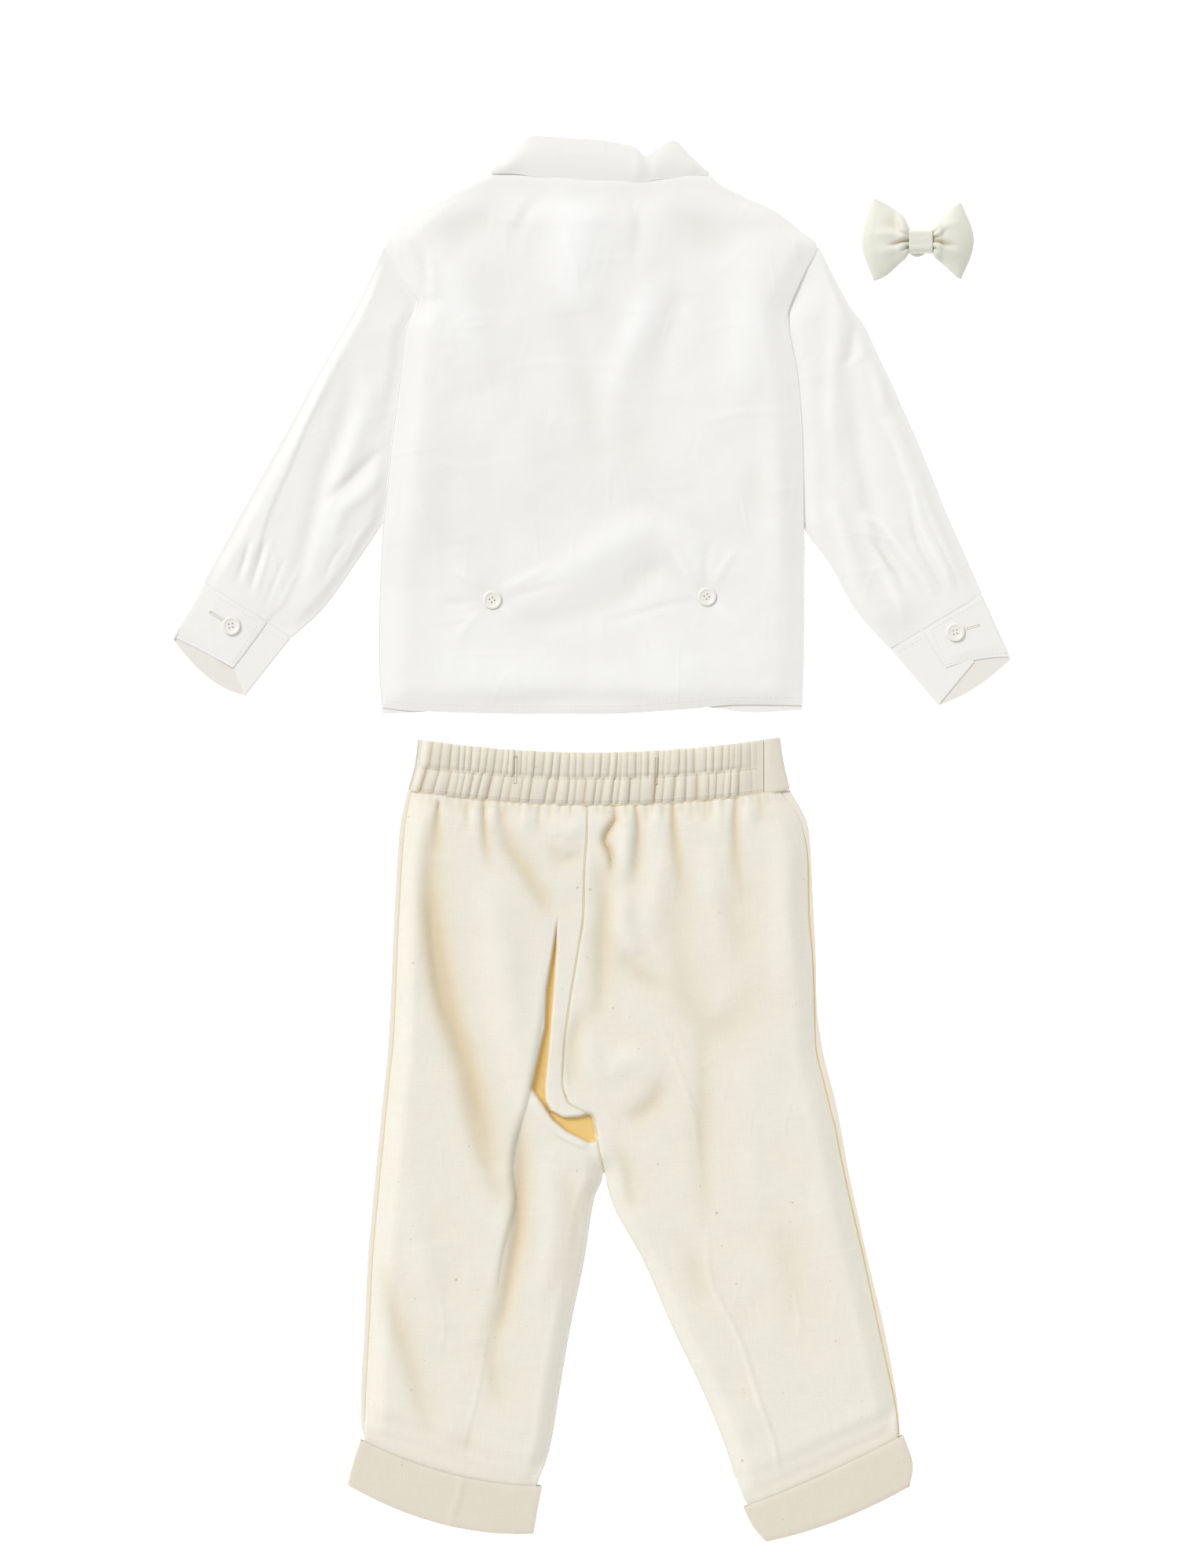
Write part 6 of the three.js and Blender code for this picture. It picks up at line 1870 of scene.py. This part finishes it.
def button_mesh():
    """A dished button with four sewing holes, cut once and shared."""
    points, faces = lathe(BUTTON_PROFILE, 56)
    blank = add_mesh("button_blank", points + SET_MIDDLE, faces, PEARL)
    drills = []
    for dx in (-HOLE_SPREAD, HOLE_SPREAD):
        for dy in (-HOLE_SPREAD, HOLE_SPREAD):
            drill, sides = lathe([(0, -1), (HOLE_RADIUS, -1), (HOLE_RADIUS, 4), (0, 4)], 16)
            base = sum(len(points) for points, _ in drills)
            drills.append((drill + [dx, dy, 0], [[base + i for i in side] for side in sides]))
    points = np.vstack([points for points, _ in drills]) + SET_MIDDLE
    cutter = add_mesh("button_holes", points, sum((sides for _, sides in drills), []), PEARL)
    cut = blank.modifiers.new("holes", "BOOLEAN")
    cut.object = cutter
    cut.solver = "EXACT"
    bpy.context.view_layer.update()
    made = bpy.data.meshes.new_from_object(blank.evaluated_get(bpy.context.evaluated_depsgraph_get()))
    bpy.data.objects.remove(blank)
    bpy.data.objects.remove(cutter)
    return made


def button_rest(read, x, y):
    """Height at which a button rests on the cloth round its middle."""
    turns = np.linspace(0, 2 * np.pi, 12, endpoint=False)
    rim = [read(x + BUTTON_RIM * np.cos(turn), y + BUTTON_RIM * np.sin(turn)) for turn in turns]
    return float(np.mean(rim)) - BUTTON_SUNK


def make_buttons(read):
    """Four dished buttons, each laid on the cloth in its node's place."""
    mesh = button_mesh()
    for name in ("cuff_button_left", "cuff_button_right", "back_button_left", "back_button_right"):
        low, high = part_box(name)
        piece = bpy.data.objects.new(f"{name}_dished", mesh)
        middle = (low + high) / 2
        under = button_rest(read, middle.x / MM + SET_MIDDLE[0], middle.y / MM + SET_MIDDLE[1])
        piece.location = (middle.x, middle.y, under * MM)
        piece.rotation_euler = (0, 0, np.radians(12 if "cuff" in name else 35))
        bpy.context.scene.collection.objects.link(piece)
        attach(piece, "root")
        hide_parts(name)


def make_clip():
    """The disc of the clip under the knot."""
    low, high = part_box("bow_clip")
    half, top = CLIP_DIAMETER / 2, CLIP_THICKNESS
    profile = [
        (0, 0), (half - 0.4, 0), (half, 0.3), (half, 0.9),
        (half - 0.4, top), (half - 1.6, top), (half - 2, 0.9), (0, 0.9),
    ]
    points, faces = lathe(profile, 64)
    points = points + [(low.x + high.x) / 2 / MM, (low.y + high.y) / 2 / MM, 0] + SET_MIDDLE
    piece = add_mesh("bow_clip_disc", points, faces, CLEAR)
    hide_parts("bow_clip")


make_shirt_body()
make_sleeves()
for cuff in CUFFS:
    make_cuff(cuff)
make_collar()
make_trousers()
make_turn_ups()
make_waistband()
make_bow_loop("bow_loop_left", BOW_LEFT, -1)
make_bow_loop("bow_loop_right", BOW_RIGHT, 1)
make_knot()
surface = surface_reader()
make_seams(surface)
make_stitches(surface)
make_buttons(surface)
make_clip()


# Stage, light and camera

FRAME_PIXELS = (1500, 1996)
LENS = 85
SENSOR = 36
WORLD_LIGHT = 0.7
KEY_LIGHT = 1.95
KEY_SOFTNESS = 24
FLOOR_GLOW = 0.7
FLOOR_WHITES = (0.93, 0.93, 0.93), (0.95, 0.95, 0.95)
KEY_PLACE = (-0.62, 0.6, 0.75)


def make_stage():
    """A pale floor just under the set."""
    material, nodes, links = node_tree("pale_floor")
    shader = nodes["Principled BSDF"]
    place = nodes.new("ShaderNodeTexCoord")
    soft = noise(nodes, links, place.outputs["Object"], 3, 2)
    links.new(mixed(nodes, links, soft, *FLOOR_WHITES), shader.inputs["Base Color"])
    shader.inputs["Roughness"].default_value = 0.9
    shader.inputs["Specular IOR Level"].default_value = 0.1
    shader.inputs["Emission Color"].default_value = (1, 1, 1, 1)
    shader.inputs["Emission Strength"].default_value = FLOOR_GLOW
    bpy.ops.mesh.primitive_plane_add(size=12, location=(0, 0, -0.0002))
    floor = bpy.context.object
    floor.name = "floor"
    floor.data.materials.append(material)


def make_light():
    """Even white light with a soft sun from the upper left that draws the folds."""
    world = bpy.data.worlds.new("studio")
    world.use_nodes = True
    back = world.node_tree.nodes["Background"]
    back.inputs["Color"].default_value = (1, 1, 1, 1)
    back.inputs["Strength"].default_value = WORLD_LIGHT
    bpy.context.scene.world = world
    data = bpy.data.lights.new("key", "SUN")
    data.energy = KEY_LIGHT
    data.angle = np.radians(KEY_SOFTNESS)
    key = bpy.data.objects.new("key", data)
    key.location = KEY_PLACE
    key.rotation_euler = Vector(KEY_PLACE).to_track_quat("Z", "Y").to_euler()
    bpy.context.scene.collection.objects.link(key)
    bpy.context.scene.view_settings.view_transform = "Standard"
    bpy.context.scene.view_settings.look = "None"


def make_camera():
    """A camera straight above the middle of the photo's frame."""
    data = bpy.data.cameras.new("camera")
    data.lens = LENS
    data.sensor_width = SENSOR
    camera = bpy.data.objects.new("camera", data)
    centre = (photo(FRAME_PIXELS[0] / 2, FRAME_PIXELS[1] / 2)[0] - SET_MIDDLE[:2]) * MM
    distance = FRAME_PIXELS[1] * MM_PER_PIXEL * MM * LENS / SENSOR
    camera.location = (*centre, distance)
    bpy.context.scene.collection.objects.link(camera)
    bpy.context.scene.camera = camera


# What each piece was cut to in millimetres: of tubes and folded bands what shows, all round
SHEETS = table("name width length filled held on", [
    ("shirt_front_left", 166, 372, 0.8, "laid", ["floor"]),
    ("shirt_front_right", 166, 372, 0.8, "laid", ["floor"]),
    ("shirt_back", 308, 372, 0.84, "laid", ["shirt_front_left", "shirt_front_right"]),
    ("sleeve_left", 176, 268, 0.8, "laid", ["floor"]),
    ("sleeve_right", 176, 268, 0.8, "laid", ["floor"]),
    ("cuff_left", 142, 42, 1, "folded", ["floor"]),
    ("cuff_right", 142, 42, 1, "folded", ["floor"]),
    ("collar", 282, 52, 0.86, "folded", ["shirt_back"]),
    ("trouser_front_left", 166, 490, 0.74, "laid", ["floor"]),
    ("trouser_front_right", 190, 490, 0.7, "laid", ["floor"]),
    ("trouser_back_left", 166, 500, 0.72, "laid", ["trouser_front_left"]),
    ("trouser_back_right", 192, 500, 0.7, "laid", ["trouser_front_right"]),
    ("turn_up_left", 250, 34, 0.95, "folded", ["floor"]),
    ("turn_up_right", 236, 34, 0.95, "folded", ["floor"]),
    ("waistband_front", 268, 37, 1, "folded", ["floor"]),
    ("waistband_back", 360, 37, 1, "gathered", ["waistband_front"]),
    ("bow_loop_left", 58, 52, 0.8, "folded", ["bow_clip"]),
    ("bow_loop_right", 56, 48, 0.8, "folded", ["bow_clip"]),
    ("bow_knot", 46, 16.5, 1, "folded", ["bow_clip"]),
])


def declare_sheets():
    """Reads what each piece in the table lies on, and does nothing more with it."""
    for row in SHEETS:
        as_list(row["on"])


make_stage()
make_light()
make_camera()
declare_sheets()
